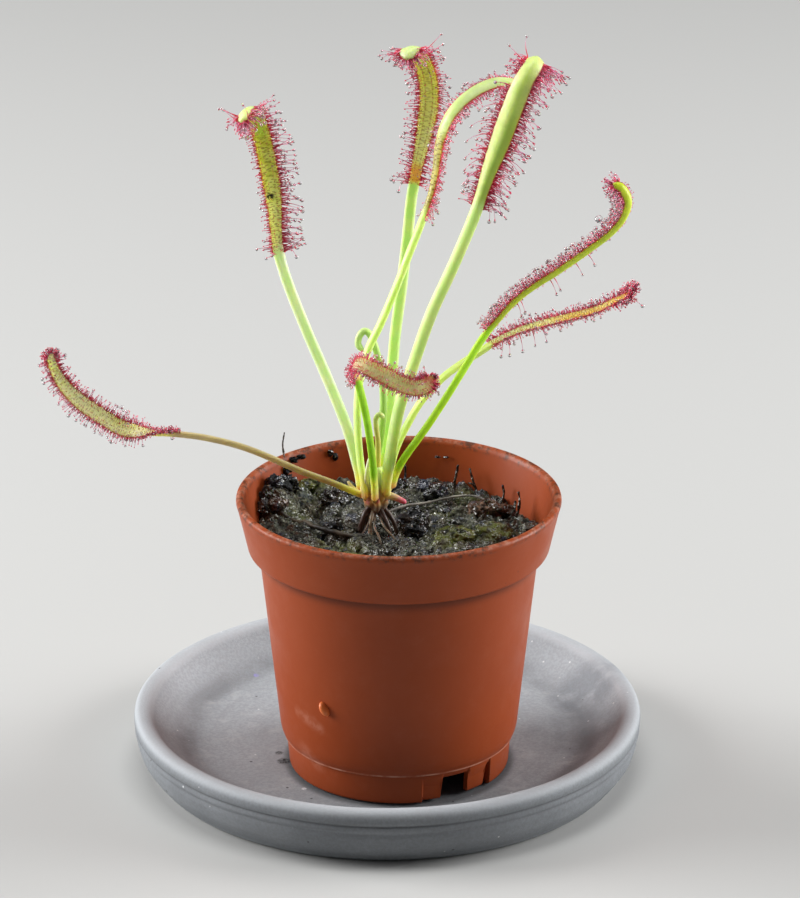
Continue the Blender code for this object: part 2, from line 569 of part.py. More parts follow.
def add_tentacles(name, frame, group):
    """Tentacles along both edges of the blade and up its middle, and a fan round its tip."""
    path, along, faces, width, thickness, _, start = frame
    across = np.cross(tangents(path), faces)
    forward = tangents(path)
    rng = random.Random(name)
    stations = np.arange(start + 0.4, along[-1] - 0.5, STATION_STEP)

    def at(values, s):
        return np.array([np.interp(s, along, values[:, k]) for k in range(3)])

    for index, station in enumerate(stations):
        half = np.interp(station, along, width) / 2
        middle, up = at(path, station), unit(at(faces, station))
        out, ahead = unit(at(across, station)), unit(at(forward, station))
        for side in (-1, 1):
            lean = rng.uniform(-0.35, 0.35)
            way = unit(out * side + up * rng.uniform(0.35, 0.8) + ahead * lean)
            root = middle + out * side * (half - ROOT_DEPTH)
            head = middle + out * side * half + way * rng.uniform(*EDGE_LENGTH)
            tentacle(f"{name}_edge", root, head, group)
        if index % 2:
            way = unit(up + out * rng.uniform(-0.4, 0.4) + ahead * rng.uniform(-0.3, 0.3))
            root = middle + out * rng.uniform(-0.3, 0.3) * half
            tentacle(f"{name}_face", root, root + way * (rng.uniform(*FACE_LENGTH) + 0.3), group)
    end, up, out, ahead = path[-1], faces[-1], across[-1], forward[-1]
    for spread in (-0.7, 0.0, 0.7):
        way = unit(ahead + out * spread + up * 0.4)
        tentacle(f"{name}_tip", end - ahead * ROOT_DEPTH, end + way * rng.uniform(1.4, 2.0), group)


def leaf(name, shape, group):
    frame = leaf_frame(shape)
    path, _, faces, width, thickness, flat, _ = frame
    across = np.cross(tangents(path), faces)
    angle = np.linspace(0.0, 2 * math.pi, LEAF_SIDES, endpoint=False)[None]
    side = np.cos(angle) * width[:, None] / 2
    lift = np.sin(angle) * thickness[:, None] / 2
    cup = BLADE_CUP * flat[:, None] * np.cos(angle) ** 2
    rings = (path[:, None] + across[:, None] * side[..., None]
             + faces[:, None] * (lift + cup)[..., None])
    body = skin(name, rings, group, LEAF_COLOURS[name])
    repeats = new_collection(name + "_tentacles")
    add_tentacles(name, frame, repeats)
    combine(body, repeats, "UNION")
    return body


def curl(name, shape, group, colour):
    base, tip, points = shape
    path = smooth_path(points, 2)
    share = distances(path) / distances(path)[-1]
    radii = base + (tip - base) * share
    radii[-1] *= 0.5
    return tube(name, radii, path, group, colour)


def build():
    clear_scene()
    group = new_collection("potted_sundew")
    saucer(group)
    pot(group)
    soil(group, holes_for_roots())
    crown(group)
    for name, shape in LEAVES.items():
        leaf(name, shape, group)
    for name, shape in YOUNG_LEAVES.items():
        curl(name, shape, group, LIME)
    curl("stub_leaf", STUB_LEAF, group, PALE_PINK)


build()
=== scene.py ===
"""A potted sundew: a small carnivorous plant in a plastic pot that stands in a clay saucer.

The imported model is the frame. The pieces below replace its plain solids in the same places, and are
worked out in millimetres; MM turns them into metres. The sections follow the object from the
saucer up: saucer, pot, soil, crown and roots, leaves, and the tentacles with their dew.
"""

import math
from functools import cached_property

import bpy
import numpy as np
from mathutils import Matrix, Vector


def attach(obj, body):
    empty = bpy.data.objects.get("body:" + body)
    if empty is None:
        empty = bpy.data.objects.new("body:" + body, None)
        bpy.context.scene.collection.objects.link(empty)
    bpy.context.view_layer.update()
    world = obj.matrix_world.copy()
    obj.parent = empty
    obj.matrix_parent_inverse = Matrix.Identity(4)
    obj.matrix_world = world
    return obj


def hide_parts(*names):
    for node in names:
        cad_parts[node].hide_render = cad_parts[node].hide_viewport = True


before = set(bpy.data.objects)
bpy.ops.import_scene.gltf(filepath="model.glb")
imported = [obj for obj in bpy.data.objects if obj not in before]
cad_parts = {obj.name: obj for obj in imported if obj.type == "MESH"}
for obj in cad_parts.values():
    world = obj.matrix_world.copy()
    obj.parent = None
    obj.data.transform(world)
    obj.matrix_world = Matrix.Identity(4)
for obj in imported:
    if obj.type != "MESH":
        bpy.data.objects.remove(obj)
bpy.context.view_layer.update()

# Camera, floor and light
# The camera looks down on the plant from the front. The floor is a plain pale sheet, and two wide
# soft lamps stand left and right of it, as at a studio table, with a weak even light all round.
MM = 0.001
AIM = np.array((2.2, 0.0, 58.0))
CAMERA_DISTANCE = 882.7
LOOK_DOWN = math.radians(21.8)
LENS = 208.5
FLOOR_HALF = 3000.0
FLOOR_TICKS = 9                 # grid lines along each side
LAMP_AIM = (0.0, -5.0, 60.0)
LAMPS = (                       # place, width and height, power
    ("left_lamp", (-820.0, 150.0, 330.0), (480.0, 560.0), 12.0),
    ("right_lamp", (830.0, 150.0, 300.0), (480.0, 560.0), 10.3),
    ("top_lamp", (-20.0, 40.0, 900.0), (600.0, 420.0), 4.6),
)

camera = bpy.data.objects.new("camera", bpy.data.cameras.new("camera"))
camera.data.lens = LENS
camera.location = Vector((AIM + CAMERA_DISTANCE * np.array(
    (0.0, -math.cos(LOOK_DOWN), math.sin(LOOK_DOWN)))) * MM)
camera.rotation_euler = (math.pi / 2 - LOOK_DOWN, 0.0, 0.0)
bpy.context.scene.collection.objects.link(camera)
bpy.context.scene.camera = camera
bpy.context.scene.view_settings.view_transform = "Standard"

for name, place, (wide, high), power in LAMPS:
    lamp = bpy.data.objects.new(name, bpy.data.lights.new(name, "AREA"))
    lamp.data.shape = "RECTANGLE"
    lamp.data.size, lamp.data.size_y = wide * MM, high * MM
    lamp.data.energy = power
    lamp.location = Vector(place) * MM
    lamp.rotation_euler = (Vector(LAMP_AIM) - Vector(place)).to_track_quat("-Z", "Y").to_euler()
    bpy.context.scene.collection.objects.link(lamp)

world = bpy.data.worlds.new("studio_air")
world.use_nodes = True
world.node_tree.nodes["Background"].inputs["Color"].default_value = (0.93, 0.95, 1.0, 1.0)
world.node_tree.nodes["Background"].inputs["Strength"].default_value = 0.05
bpy.context.scene.world = world


def new_finish(name, roughness, specular=0.5):
    """A material and its principled shader, with the two values that are the same all over."""
    material = bpy.data.materials.new(name)
    material.use_nodes = True
    shader = material.node_tree.nodes["Principled BSDF"]
    shader.inputs["Roughness"].default_value = roughness
    shader.inputs["Specular IOR Level"].default_value = specular
    return material, shader


def squares(grid):
    """The faces between the neighbours in a grid of point numbers."""
    return np.stack([grid[:-1, :-1], grid[1:, :-1], grid[1:, 1:], grid[:-1, 1:]], -1).reshape(-1, 4).tolist()


floor_finish, floor_shader = new_finish("pale_floor", 0.85, 0.2)
floor_shader.inputs["Base Color"].default_value = (0.50, 0.50, 0.49, 1.0)
floor_mesh = bpy.data.meshes.new("floor")
x, y = np.meshgrid(*[np.linspace(-FLOOR_HALF, FLOOR_HALF, FLOOR_TICKS) * MM] * 2, indexing="ij")
floor_mesh.from_pydata(np.stack([x, y, 0 * x], -1).reshape(-1, 3).tolist(), [],
                       squares(np.arange(FLOOR_TICKS ** 2).reshape(FLOOR_TICKS, FLOOR_TICKS)))
floor_mesh.materials.append(floor_finish)
floor = bpy.data.objects.new("floor", floor_mesh)
bpy.context.scene.collection.objects.link(floor)

# Saucer
# A shallow dish of unglazed light grey clay, pressed and turned, with a rounded rim, two shaving
# lines under it and a wall that draws in to the foot. Its floor is dusty from use.
SAUCER_RADIUS = 43.8
SAUCER_HEIGHT = 10.6
SAUCER_FLOOR = 4.7
SAUCER_INNER = SAUCER_RADIUS - 2.9
SAUCER_FOOT = 39.8
SAUCER_COLUMNS = 176
POT_CENTRE = np.array((2.0, -9.8))
SAUCER_BEND = (                 # radius, and height over the dish's floor
    (6.0, 0.0), (14.0, 0.0), (23.0, 0.0), (31.0, 0.0), (33.4, 0.10), (35.0, 0.5), (36.4, 1.3), (38.4, 2.7),
)
SAUCER_LIP = ((-0.9, 1.5), (0.0, 0.35), (0.9, 0.0))        # out from the inner radius, and down from the rim
SAUCER_WALL = (                 # in from the radius, and down from the rim
    (0.9, 0.02), (0.2, 0.5), (0.0, 1.3), (0.02, 2.3), (0.4, 2.65), (0.1, 3.0), (0.12, 3.7), (0.5, 4.0),
    (0.4, 5.0), (1.0, 7.0), (2.0, 8.5),
)
# The first two marks are painted shade over the right of the dish's floor and wall; the rest are small stains
# and specks.
SAUCER_STAINS_AND_SHADE = (                # x, y, size, strength, colour
    (32.5, 0.0, 11.0, 0.45, (0.16, 0.175, 0.19)), (36.5, 14.0, 10.0, 0.55, (0.13, 0.142, 0.158)),
    (-17.7, -11.0, 1.5, 0.95, (0.015, 0.015, 0.016)), (-18.6, -7.6, 0.9, 0.8, (0.03, 0.03, 0.03)),
    (-14.1, -21.8, 0.55, 0.95, (0.80, 0.81, 0.83)), (-23.4, 24.4, 0.7, 0.8, (0.30, 0.27, 0.62)),
)


def softened(corners, reach, steps=4):
    """A profile with rounded corners. Each corner c becomes the parabola
    (1 - t)^2 a + 2 t (1 - t) c + t^2 b between the points a and b that lie reach before and after
    it, or 0.45 of the side where that is nearer."""
    corners = np.array(corners, float)
    t = np.linspace(0.0, 1.0, steps + 1)[:, None]
    rounded = [corners[:1]]
    for before, corner, after in zip(corners[:-2], corners[1:-1], corners[2:]):
        back, on = before - corner, after - corner
        start = corner + back * min(reach / np.linalg.norm(back), 0.45)
        end = corner + on * min(reach / np.linalg.norm(on), 0.45)
        rounded.append((1 - t) ** 2 * start + 2 * t * (1 - t) * corner + t ** 2 * end)
    rounded.append(corners[-1:])
    return np.vstack(rounded)


def around(count):
    """Angles of count even steps round a full turn."""
    return np.linspace(0.0, 2 * math.pi, count, endpoint=False)


def turned_rings(profile, angles):
    """Rings (r cos a, r sin a, h) for each point (r, h) of a profile and each angle a."""
    radius, height = profile[:, 0][:, None], profile[:, 1][:, None]
    flat = np.zeros_like(angles)[None]
    return np.stack([radius * np.cos(angles), radius * np.sin(angles), height + flat], -1)


def lofted(rings, start=None, end=None):
    """Points and faces of a skin over rings of points, first along the rings' order and then round,
    and closed by a fan to a pole at each end that is given."""
    rows, columns, _ = rings.shape
    i = np.arange(rows - 1)[:, None] * columns
    j = np.arange(columns)[None]
    k = (j + 1) % columns
    quads = np.stack([i + j, i + columns + j, i + columns + k, i + k], -1).reshape(-1, 4)
    points, faces = [rings.reshape(-1, 3)], quads.tolist()
    if start is not None:
        points.append(np.array([start], float))
        faces += [(rows * columns, a, (a + 1) % columns) for a in range(columns)]
    if end is not None:
        pole, last = rows * columns + (start is not None), (rows - 1) * columns
        points.append(np.array([end], float))
        faces += [(last + a, pole, last + (a + 1) % columns) for a in range(columns)]
    return np.vstack(points), faces


def unit(vectors):
    return vectors / np.maximum(np.linalg.norm(vectors, axis=-1, keepdims=True), 1e-9)


def unevenness(points, size, seed, waves=22):
    """Smooth random heights of about -1.5 to 1.5: sum of sin(2 pi p.d / s + f) over random unit
    directions d, lengths s of 0.6 to 1.6 sizes and phases f, over the root of the number of waves."""
    rng = np.random.default_rng(seed)
    ways = unit(rng.normal(size=(waves, 3))) / (size * rng.uniform(0.6, 1.6, (waves, 1)))
    return np.sin(points @ ways.T * 2 * math.pi + rng.uniform(0, 2 * math.pi, waves)).sum(-1) / waves ** 0.5


def add_piece(name, points, faces, finish, slot, **spreads):
    """A smooth mesh piece from points in millimetres; each spread is a value or a vector a point."""
    mesh = bpy.data.meshes.new(name)
    mesh.from_pydata((points * MM).tolist(), [], faces)
    mesh.materials.append(finish.material)
    mesh.shade_smooth()
    for key, values in spreads.items():
        kind, field = ("FLOAT", "value") if values.ndim == 1 else ("FLOAT_VECTOR", "vector")
        mesh.attributes.new(key, kind, "POINT").data.foreach_set(field, values.astype(np.float32).ravel())
    piece = bpy.data.objects.new(name, mesh)
    bpy.context.scene.collection.objects.link(piece)
    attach(piece, "root")
    return piece


class Finish:
    """A finish on the principled shader: a ground of two colours, then coats laid over it. Its
    patterns lie on Object coordinates, and its sizes are in millimetres."""

    def __init__(self, name, roughness, specular=0.5):
        self.material, self.shader = new_finish(name, roughness, specular)

    @cached_property
    def place(self):
        return self.put("TexCoord", {}).outputs["Object"]

    def put(self, kind, inputs, **settings):
        """A shader node with its inputs set: each is a value, or another node's socket to join on."""
        made = self.material.node_tree.nodes.new("ShaderNode" + kind)
        for key, value in settings.items():
            setattr(made, key, value)
        for key, value in inputs.items():
            if isinstance(value, bpy.types.NodeSocket):
                self.material.node_tree.links.new(value, made.inputs[key])
            else:
                made.inputs[key].default_value = value
        return made

    def drive(self, socket, value):
        self.material.node_tree.links.new(value, self.shader.inputs[socket])

    def spread(self, key, output="Fac"):
        return self.put("Attribute", {}, attribute_name=key).outputs[output]

    def calculated(self, way, first, second=0.0):
        return self.put("Math", {0: first, 1: second}, operation=way).outputs[0]

    def product(self, first, *others):
        for other in others:
            first = self.calculated("MULTIPLY", first, other)
        return first

    def cloud(self, size, detail=3.0, roughness=0.55, place=None):
        """Noise whose features are about one size across."""
        return self.put("TexNoise", {"Vector": self.place if place is None else place, "Detail": detail,
                                     "Scale": 1 / (size * MM), "Roughness": roughness}).outputs["Fac"]

    def eased(self, value, low, high, to_low=0.0, to_high=1.0):
        """A value eased from to_low at low up to to_high at high."""
        return self.put("MapRange", {"Value": value, "From Min": low, "From Max": high, "To Min": to_low,
                                     "To Max": to_high}, interpolation_type="SMOOTHSTEP").outputs["Result"]

    def within(self, length, low, high, most=1.0):
        """0 where a length is low millimetres, eased to most where it is high."""
        return self.eased(length, low * MM, high * MM, 0.0, most)

    def patchy(self, size, low, high, to_low=0.0, to_high=1.0, detail=3.0, roughness=0.55):
        """Clouds parted into patches: eased from to_low at low up to to_high at high."""
        return self.eased(self.cloud(size, detail, roughness), low, high, to_low, to_high)

    def near(self, spot, outer, inner, most=1.0):
        """0 from outer millimetres off a spot, eased to most within inner of it."""
        apart = self.put("VectorMath", {0: self.place, 1: tuple(value * MM for value in spot)},
                         operation="DISTANCE").outputs["Value"]
        return self.within(apart, outer, inner, most)

    def specks(self, size, radius, share):
        """Round specks: 1 within radius, a share of the cell size, of the centres of some cells."""
        cells = self.put("TexVoronoi", {"Vector": self.place, "Scale": 1 / (size * MM)})
        draw = self.put("SeparateColor", {"Color": cells.outputs["Color"]}).outputs[0]
        return self.product(self.eased(cells.outputs["Distance"], radius, radius * 0.55),
                            self.calculated("LESS_THAN", draw, share))

    def from_axis(self, x, y):
        """Distance in metres from an upright axis, and the height."""
        to_axis = (-x * MM, -y * MM, 0.0)
        shifted = self.put("VectorMath", {0: self.place, 1: to_axis}, operation="ADD").outputs[0]
        height = self.put("SeparateXYZ", {"Vector": shifted}).outputs["Z"]
        level = self.put("VectorMath", {0: shifted, 1: (1.0, 1.0, 0.0)}, operation="MULTIPLY").outputs[0]
        return self.put("VectorMath", {0: level}, operation="LENGTH").outputs["Value"], height

    def mixed(self, factor, first, second):
        """Two colours, each a socket or (red, green, blue), mixed by a factor."""
        colours = [c if isinstance(c, bpy.types.NodeSocket) else (*c, 1.0) for c in (first, second)]
        return self.put("Mix", {0: factor, 6: colours[0], 7: colours[1]}, data_type="RGBA").outputs[2]

    def ground(self, factor, first, second):
        self.tint = self.mixed(factor, first, second)
        self.drive("Base Color", self.tint)

    def coat(self, colour, *factors):
        """Lays a colour over what is there, as thick as the product of the factors."""
        self.ground(self.product(*factors), self.tint, colour)

    def relief(self, height, depth, strength):
        """Small relief: the shader's normal is bent by a height of the given depth."""
        bump = self.put("Bump", {"Height": height, "Distance": depth * MM, "Strength": strength})
        self.drive("Normal", bump.outputs["Normal"])


clay = Finish("grey_clay", 0.88, 0.25)
reach, height = clay.from_axis(0.0, 0.0)
clay.ground(clay.cloud(13.0, 5.0), (0.305, 0.328, 0.350), (0.392, 0.418, 0.444))
clay.coat((0.27, 0.275, 0.285), clay.patchy(0.5, 0.35, 0.65, 0.0, 0.5, 2.0))
clay.coat((0.155, 0.16, 0.17), clay.within(reach, 31.5, 34.5), clay.within(reach, 38.5, 35.5),
          clay.within(height, 8.5, 5.0), clay.patchy(11.0, 0.3, 0.65, 0.15, 0.6))
# Painted shade: the outer wall grows darker below the rim, in patches.
clay.coat((0.110, 0.115, 0.125), clay.within(reach, 40.2, 41.2), clay.within(height, 10.4, 8.6, 0.62),
          clay.patchy(9.0, 0.2, 0.7, 1.0, 0.75, 4.0))
clay.coat((0.10, 0.105, 0.11), clay.within(height, 7.65, 7.9), clay.within(height, 8.3, 8.0),
          clay.within(reach, 42.0, 42.5, 0.45))
# Painted highlight: the top of the rim is lighter.
clay.coat((0.50, 0.52, 0.545), clay.within(height, 9.2, 10.4, 0.55))
level = clay.put("VectorMath", {0: clay.place, 1: (1.0, 1.0, 0.0)}, operation="MULTIPLY").outputs[0]
turned = clay.cloud(1.6, place=clay.put("CombineXYZ", {"X": reach, "Y": 0.0, "Z": 0.0}).outputs[0])
clay.coat((0.25, 0.255, 0.265), clay.eased(turned, 0.42, 0.62, 0.0, 0.20),
          clay.eased(clay.cloud(18.0, 2.0, place=level), 0.4, 0.6))
clay.coat((0.52, 0.53, 0.54), clay.within(reach, 36.0, 33.0),
          clay.patchy(5.0, 0.5, 0.72, 0.0, 0.40, 6.0, 0.7))
clay.coat((0.10, 0.10, 0.105), clay.specks(3.4, 0.09, 0.35))
clay.coat((0.62, 0.63, 0.64), clay.specks(2.3, 0.10, 0.25))
# Painted contact shadow: a dark ring on the dish's floor round the pot's foot.
by_pot, _ = clay.from_axis(*POT_CENTRE)
clay.coat((0.050, 0.050, 0.053), clay.within(by_pot, 20.5, 18.8, 0.7))
# Painted shade on the right of the dish, then small stains and specks.
for x, y, size, strength, colour in SAUCER_STAINS_AND_SHADE:
    clay.coat(colour, clay.near((x, y, SAUCER_FLOOR), size, size * 0.5, strength),
              clay.patchy(size * 0.45, 0.35, 0.6, 0.35, 1.0))
clay.relief(clay.cloud(0.35, 4.0, 0.7), 0.12, 0.5)

profile = [(radius, SAUCER_FLOOR + up) for radius, up in SAUCER_BEND]
profile += [(SAUCER_INNER + out, SAUCER_HEIGHT - down) for out, down in SAUCER_LIP]
profile += [(SAUCER_RADIUS - inset, SAUCER_HEIGHT - down) for inset, down in SAUCER_WALL]
profile += [(SAUCER_FOOT + 0.7, 0.55), (SAUCER_FOOT, 0.0), (30.0, 0.0), (15.0, 0.0)]
rings = turned_rings(softened(profile, 0.45, 3), around(SAUCER_COLUMNS))
rings[..., 2] += 0.035 * unevenness(rings, 16.0, 4) * (rings[..., 2] > 1.0)
saucer = add_piece("saucer_dish", *lofted(rings, (0.0, 0.0, SAUCER_FLOOR), (0.0, 0.0, 0.0)), clay, "clay")
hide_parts("saucer")

# Pot
# One thin injection-moulded cup of terracotta-coloured plastic, satin outside. A deep collar
# stiffens its rim, a ledge runs round near the foot, and the foot is open in two wide notches with
# two short legs each, so that water can leave. A small nub marks where the mould was filled.
POT_BOTTOM = SAUCER_FLOOR + 0.3
POT_HEIGHT = 48.7
POT_WALL = 1.1
RIM_RADIUS = 27.45
COLLAR_FOOT = 39.3
COLLAR_FOOT_RADIUS = 25.5
WALL_TOP_RADIUS = 23.65
LEDGE_HEIGHT = 5.3
LEDGE_RADIUS = 20.0
CHAMFER_HEIGHT = 2.2
FOOT_TOP_RADIUS = 19.15
FOOT_RADIUS = 18.75
RING_INNER = FOOT_RADIUS - POT_WALL
FLOOR_UNDERSIDE = 3.9
FLOOR_TOP = 5.1
NOTCH_MIDDLES = (-56.6, 123.4)
NOTCH_HALF = 21.0               # degrees
NOTCH_TOP = 4.2
LEGS = ((-21.0, -10.5), (5.4, 18.0))
LEG_SETBACK = 0.5
LEG_BOTTOM = 0.15
RIM_BEAD = ((1.5, 0.7), (1.1, 0.12), (0.6, 0.0), (0.12, 0.25), (0.0, 0.8), (0.25, 1.5))     # in and down
NUB_ANGLE = math.radians(-125.6)
NUB_HEIGHT = 17.0
NUB_SIZE = (1.0, 0.78, 1.2)     # outwards, aside and up
SMEARS = (                      # x, y, z, size
    (-15.1, -22.2, 19.2, 1.3), (-13.8, -23.7, 18.8, 1.5), (-12.6, -24.9, 18.3, 1.5),
    (-11.5, -25.9, 17.7, 1.3), (-13.5, -22.0, 11.6, 2.2), (-11.5, -23.0, 10.4, 2.0),
)


def wall_radius(height):
    """Outer radius of the wall: a straight taper from the ledge up to the collar."""
    share = (height - LEDGE_HEIGHT) / (COLLAR_FOOT - LEDGE_HEIGHT)
    return LEDGE_RADIUS + (WALL_TOP_RADIUS - LEDGE_RADIUS) * share


def inner_radius(height):
    """Inner radius: a wall's thickness inside the taper, and a wider straight taper in the collar."""
    below = wall_radius(height) - POT_WALL
    collar = COLLAR_FOOT_RADIUS - POT_WALL - 0.3 + (height - COLLAR_FOOT) * 0.19
    share = min(max((height - COLLAR_FOOT + 1.0) / 1.6, 0.0), 1.0)
    return below + (collar - below) * share


def step_between(values, low, high, soft):
    """About 1 from low to high and 0 outside, with an edge as wide as soft."""
    rise = np.clip((values - low) / soft + 0.5, 0.0, 1.0)
    fall = np.clip((high - values) / soft + 0.5, 0.0, 1.0)
    return rise * rise * (3 - 2 * rise) * fall * fall * (3 - 2 * fall)


def unit_ball(heights, columns):
    """Rings sqrt(1 - h^2) (cos a, sin a) at each height h from the top down, closed by two poles."""
    rings = turned_rings(np.column_stack([np.sqrt(1 - heights ** 2), heights]), around(columns))
    return lofted(rings, (0, 0, 1), (0, 0, -1))


inside = (FLOOR_TOP + 0.8, 14.0, 26.0, COLLAR_FOOT - 1.1, COLLAR_FOOT + 0.7)
profile = [(4.0, FLOOR_TOP), (10.0, FLOOR_TOP), (inner_radius(FLOOR_TOP) - 0.8, FLOOR_TOP)]
profile += [(inner_radius(height), height) for height in inside]
profile += [(RIM_RADIUS - inset, POT_HEIGHT - down) for inset, down in RIM_BEAD]
profile += [(COLLAR_FOOT_RADIUS + 0.9, COLLAR_FOOT + 4.5), (COLLAR_FOOT_RADIUS, COLLAR_FOOT + 0.45),
            (COLLAR_FOOT_RADIUS - 0.35, COLLAR_FOOT), (WALL_TOP_RADIUS + 0.35, COLLAR_FOOT - 0.02),
            (WALL_TOP_RADIUS, COLLAR_FOOT - 0.4)]
profile += [(wall_radius(height), height) for height in (30.0, 20.0, 12.0, LEDGE_HEIGHT + CHAMFER_HEIGHT)]
profile += [(LEDGE_RADIUS, LEDGE_HEIGHT + CHAMFER_HEIGHT / 2), (LEDGE_RADIUS - 0.42, LEDGE_HEIGHT + 0.25),
            (LEDGE_RADIUS - 0.40, LEDGE_HEIGHT), (FOOT_TOP_RADIUS, LEDGE_HEIGHT - 0.05),
            (FOOT_TOP_RADIUS - 0.06, LEDGE_HEIGHT - 0.7), (FOOT_RADIUS + 0.2, 2.6), (FOOT_RADIUS, 0.25),
            (FOOT_RADIUS - 0.25, 0.0), (RING_INNER + 0.1, 0.0), (RING_INNER, 0.2),
            (RING_INNER, FLOOR_UNDERSIDE), (RING_INNER - 1.2, FLOOR_UNDERSIDE), (6.0, FLOOR_UNDERSIDE)]
profile = softened(profile, 0.32, 3)

edges = [m + e for m in NOTCH_MIDDLES for e in (-NOTCH_HALF, NOTCH_HALF, *np.ravel(LEGS))]
fine = [edge + np.linspace(-1.0, 1.0, 11) for edge in edges]
degrees = np.unique(np.round(np.concatenate([np.arange(-180.0, 180.0, 1.75), *fine]) % 360.0, 2))
rings = turned_rings(profile, np.radians(degrees))
angle = degrees[None] + np.zeros(len(profile))[:, None]
height = rings[..., 2].copy()
opened, leg = np.zeros_like(height), np.zeros_like(height)
for middle in NOTCH_MIDDLES:
    turn = (angle - middle + 180.0) % 360.0 - 180.0
    opened = np.maximum(opened, step_between(turn, -NOTCH_HALF, NOTCH_HALF, 0.8))
    for start, end in LEGS:
        leg = np.maximum(leg, step_between(turn, start, end, 1.1))
lift = NOTCH_TOP * opened * (1 - leg) + LEG_BOTTOM * opened * leg
first_foot = int(np.argmin(np.hypot(profile[:, 0] - FOOT_TOP_RADIUS, profile[:, 1] - LEDGE_HEIGHT + 0.05)))
outside_foot = (np.arange(len(profile)) >= first_foot)[:, None] & (rings[..., 2] < LEDGE_HEIGHT)
under = outside_foot & (np.hypot(rings[..., 0], rings[..., 1]) < RING_INNER + 0.05)
top = np.where(under, FLOOR_UNDERSIDE, LEDGE_HEIGHT - 0.05)
rings[..., 2] = np.where(outside_foot, lift + height * (top - lift) / top, height)
inward = LEG_SETBACK * opened * leg * outside_foot * ~under * (rings[..., 2] < NOTCH_TOP + 0.1)
rings[..., :2] *= (1 - inward / np.maximum(np.hypot(rings[..., 0], rings[..., 1]), 1.0))[..., None]
points, faces = lofted(rings, (0.0, 0.0, FLOOR_TOP), (0.0, 0.0, FLOOR_UNDERSIDE))

plastic = Finish("terracotta_plastic", 0.5, 0.20)
reach, height = plastic.from_axis(*POT_CENTRE)
rim, collar = POT_BOTTOM + POT_HEIGHT, POT_BOTTOM + COLLAR_FOOT
plastic.ground(plastic.cloud(16.0, 4.0), (0.285, 0.048, 0.010), (0.330, 0.060, 0.014))
plastic.coat((0.40, 0.12, 0.06), plastic.patchy(3.2, 0.46, 0.78, 0.0, 0.12, 6.0, 0.68))
plastic.coat((0.46, 0.22, 0.15), plastic.within(height, rim - 0.75, rim - 0.25),
             plastic.patchy(1.7, 0.42, 0.68, 0.0, 0.75, 6.0, 0.75))
plastic.coat((0.070, 0.030, 0.018), plastic.within(height, rim - 1.6, rim - 0.6),
             plastic.patchy(1.6, 0.47, 0.63, 0.0, 0.85, 5.0, 0.7))
# Painted shadow on the wall just under the collar's lip.
plastic.coat((0.055, 0.014, 0.007), plastic.within(height, collar - 2.8, collar - 0.25),
             plastic.within(height, collar + 0.35, collar + 0.02), plastic.within(reach, 23.0, 23.3, 0.72))
# A pale line along the ledge's edge: some dust on it, and a painted highlight.
plastic.coat((0.62, 0.30, 0.21), plastic.within(height, POT_BOTTOM + 5.25, POT_BOTTOM + 5.4),
             plastic.within(height, POT_BOTTOM + 5.75, POT_BOTTOM + 5.55),
             plastic.patchy(2.4, 0.30, 0.7, 0.10, 0.75, 4.0))
for *spot, size in SMEARS:
    plastic.coat((0.50, 0.20, 0.13), plastic.near(spot, size * 1.3, 0.0),
                 plastic.patchy(1.4, 0.35, 0.60, 0.12, 0.46, 5.0, 0.6))
plastic.coat((0.035, 0.022, 0.016), plastic.specks(2.4, 0.11, 0.22), plastic.within(reach, 26.2, 25.6),
             plastic.within(height, 44.0, 46.0))
plastic.drive("Roughness", plastic.patchy(7.0, 0.3, 0.7, 0.38, 0.54, 5.0))
plastic.relief(plastic.cloud(0.8, 4.0, 0.6), 0.05, 0.25)
pot = add_piece("pot_shell", points + (*POT_CENTRE, POT_BOTTOM), faces, plastic, "pot_plastic")
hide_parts("pot")

points, faces = unit_ball(np.linspace(0.98, -0.98, 13), 20)
outward = np.array((math.cos(NUB_ANGLE), math.sin(NUB_ANGLE), 0.0))
aside = np.array((-math.sin(NUB_ANGLE), math.cos(NUB_ANGLE), 0.0))
axes = np.array((outward, aside, np.array((0.0, 0.0, 1.0)) - aside * 0.42)) * np.array(NUB_SIZE)[:, None]
points = points @ axes + outward * (wall_radius(NUB_HEIGHT) + 0.1) + (*POT_CENTRE, POT_BOTTOM + NUB_HEIGHT)
# The nub's colour is brighter than the pot's plastic: painted light on the nub.
nub_painted_light = Finish("nub_painted_light", 0.40, 0.35)
nub_painted_light.ground(nub_painted_light.cloud(1.5), (0.62, 0.13, 0.030), (0.80, 0.21, 0.055))
add_piece("pot_nub", points, faces, nub_painted_light, "pot_plastic")

# Soil
# Wet peat with coarse crumbs, pressed in level by hand. Green and olive algae have grown over the
# higher lumps, and the low parts stay black and glossy. Fibres, bark and twigs lie in it.
SOIL_LEVEL = 46.0
SOIL_RADIUS = 24.3
SOIL_SIDE = 230                 # grid squares along each side
SOIL_LOWEST = 44.8
SOIL_LUMPS = (                  # x, y, height, radius
    (-18.8, 1.2, 3.8, 3.6), (-18.6, -3.4, 1.8, 3.0), (-14.0, 6.2, 2.6, 4.0), (-8.5, -24.6, 1.0, 4.6),
    (11.4, -13.0, 1.6, 3.8), (18.2, -11.0, 1.5, 3.2), (16.6, -2.4, 1.4, 2.6), (3.5, 3.5, 1.5, 4.4),
    (-8.5, 8.5, 1.6, 4.2), (7.0, 9.5, 1.4, 3.4), (-7.0, 1.5, 1.0, 3.6), (8.0, -19.5, 1.1, 4.2),
    (-15.5, -10.5, 0.8, 3.8), (22.5, 1.0, -1.6, 4.4),
)
CRUMBS = 1500
ALGAE = (                       # x, y, radius, how green
    (11.4, -13.0, 4.8, 1.0), (18.2, -11.0, 4.0, 0.9), (-8.0, -17.0, 4.4, 0.8), (-13.8, 6.2, 3.8, 1.0),
    (4.5, -24.0, 3.5, 0.7), (13.5, 6.5, 3.2, 0.6), (-15.0, -3.0, 3.0, 0.5), (9.0, -2.0, 2.8, 0.5),
)
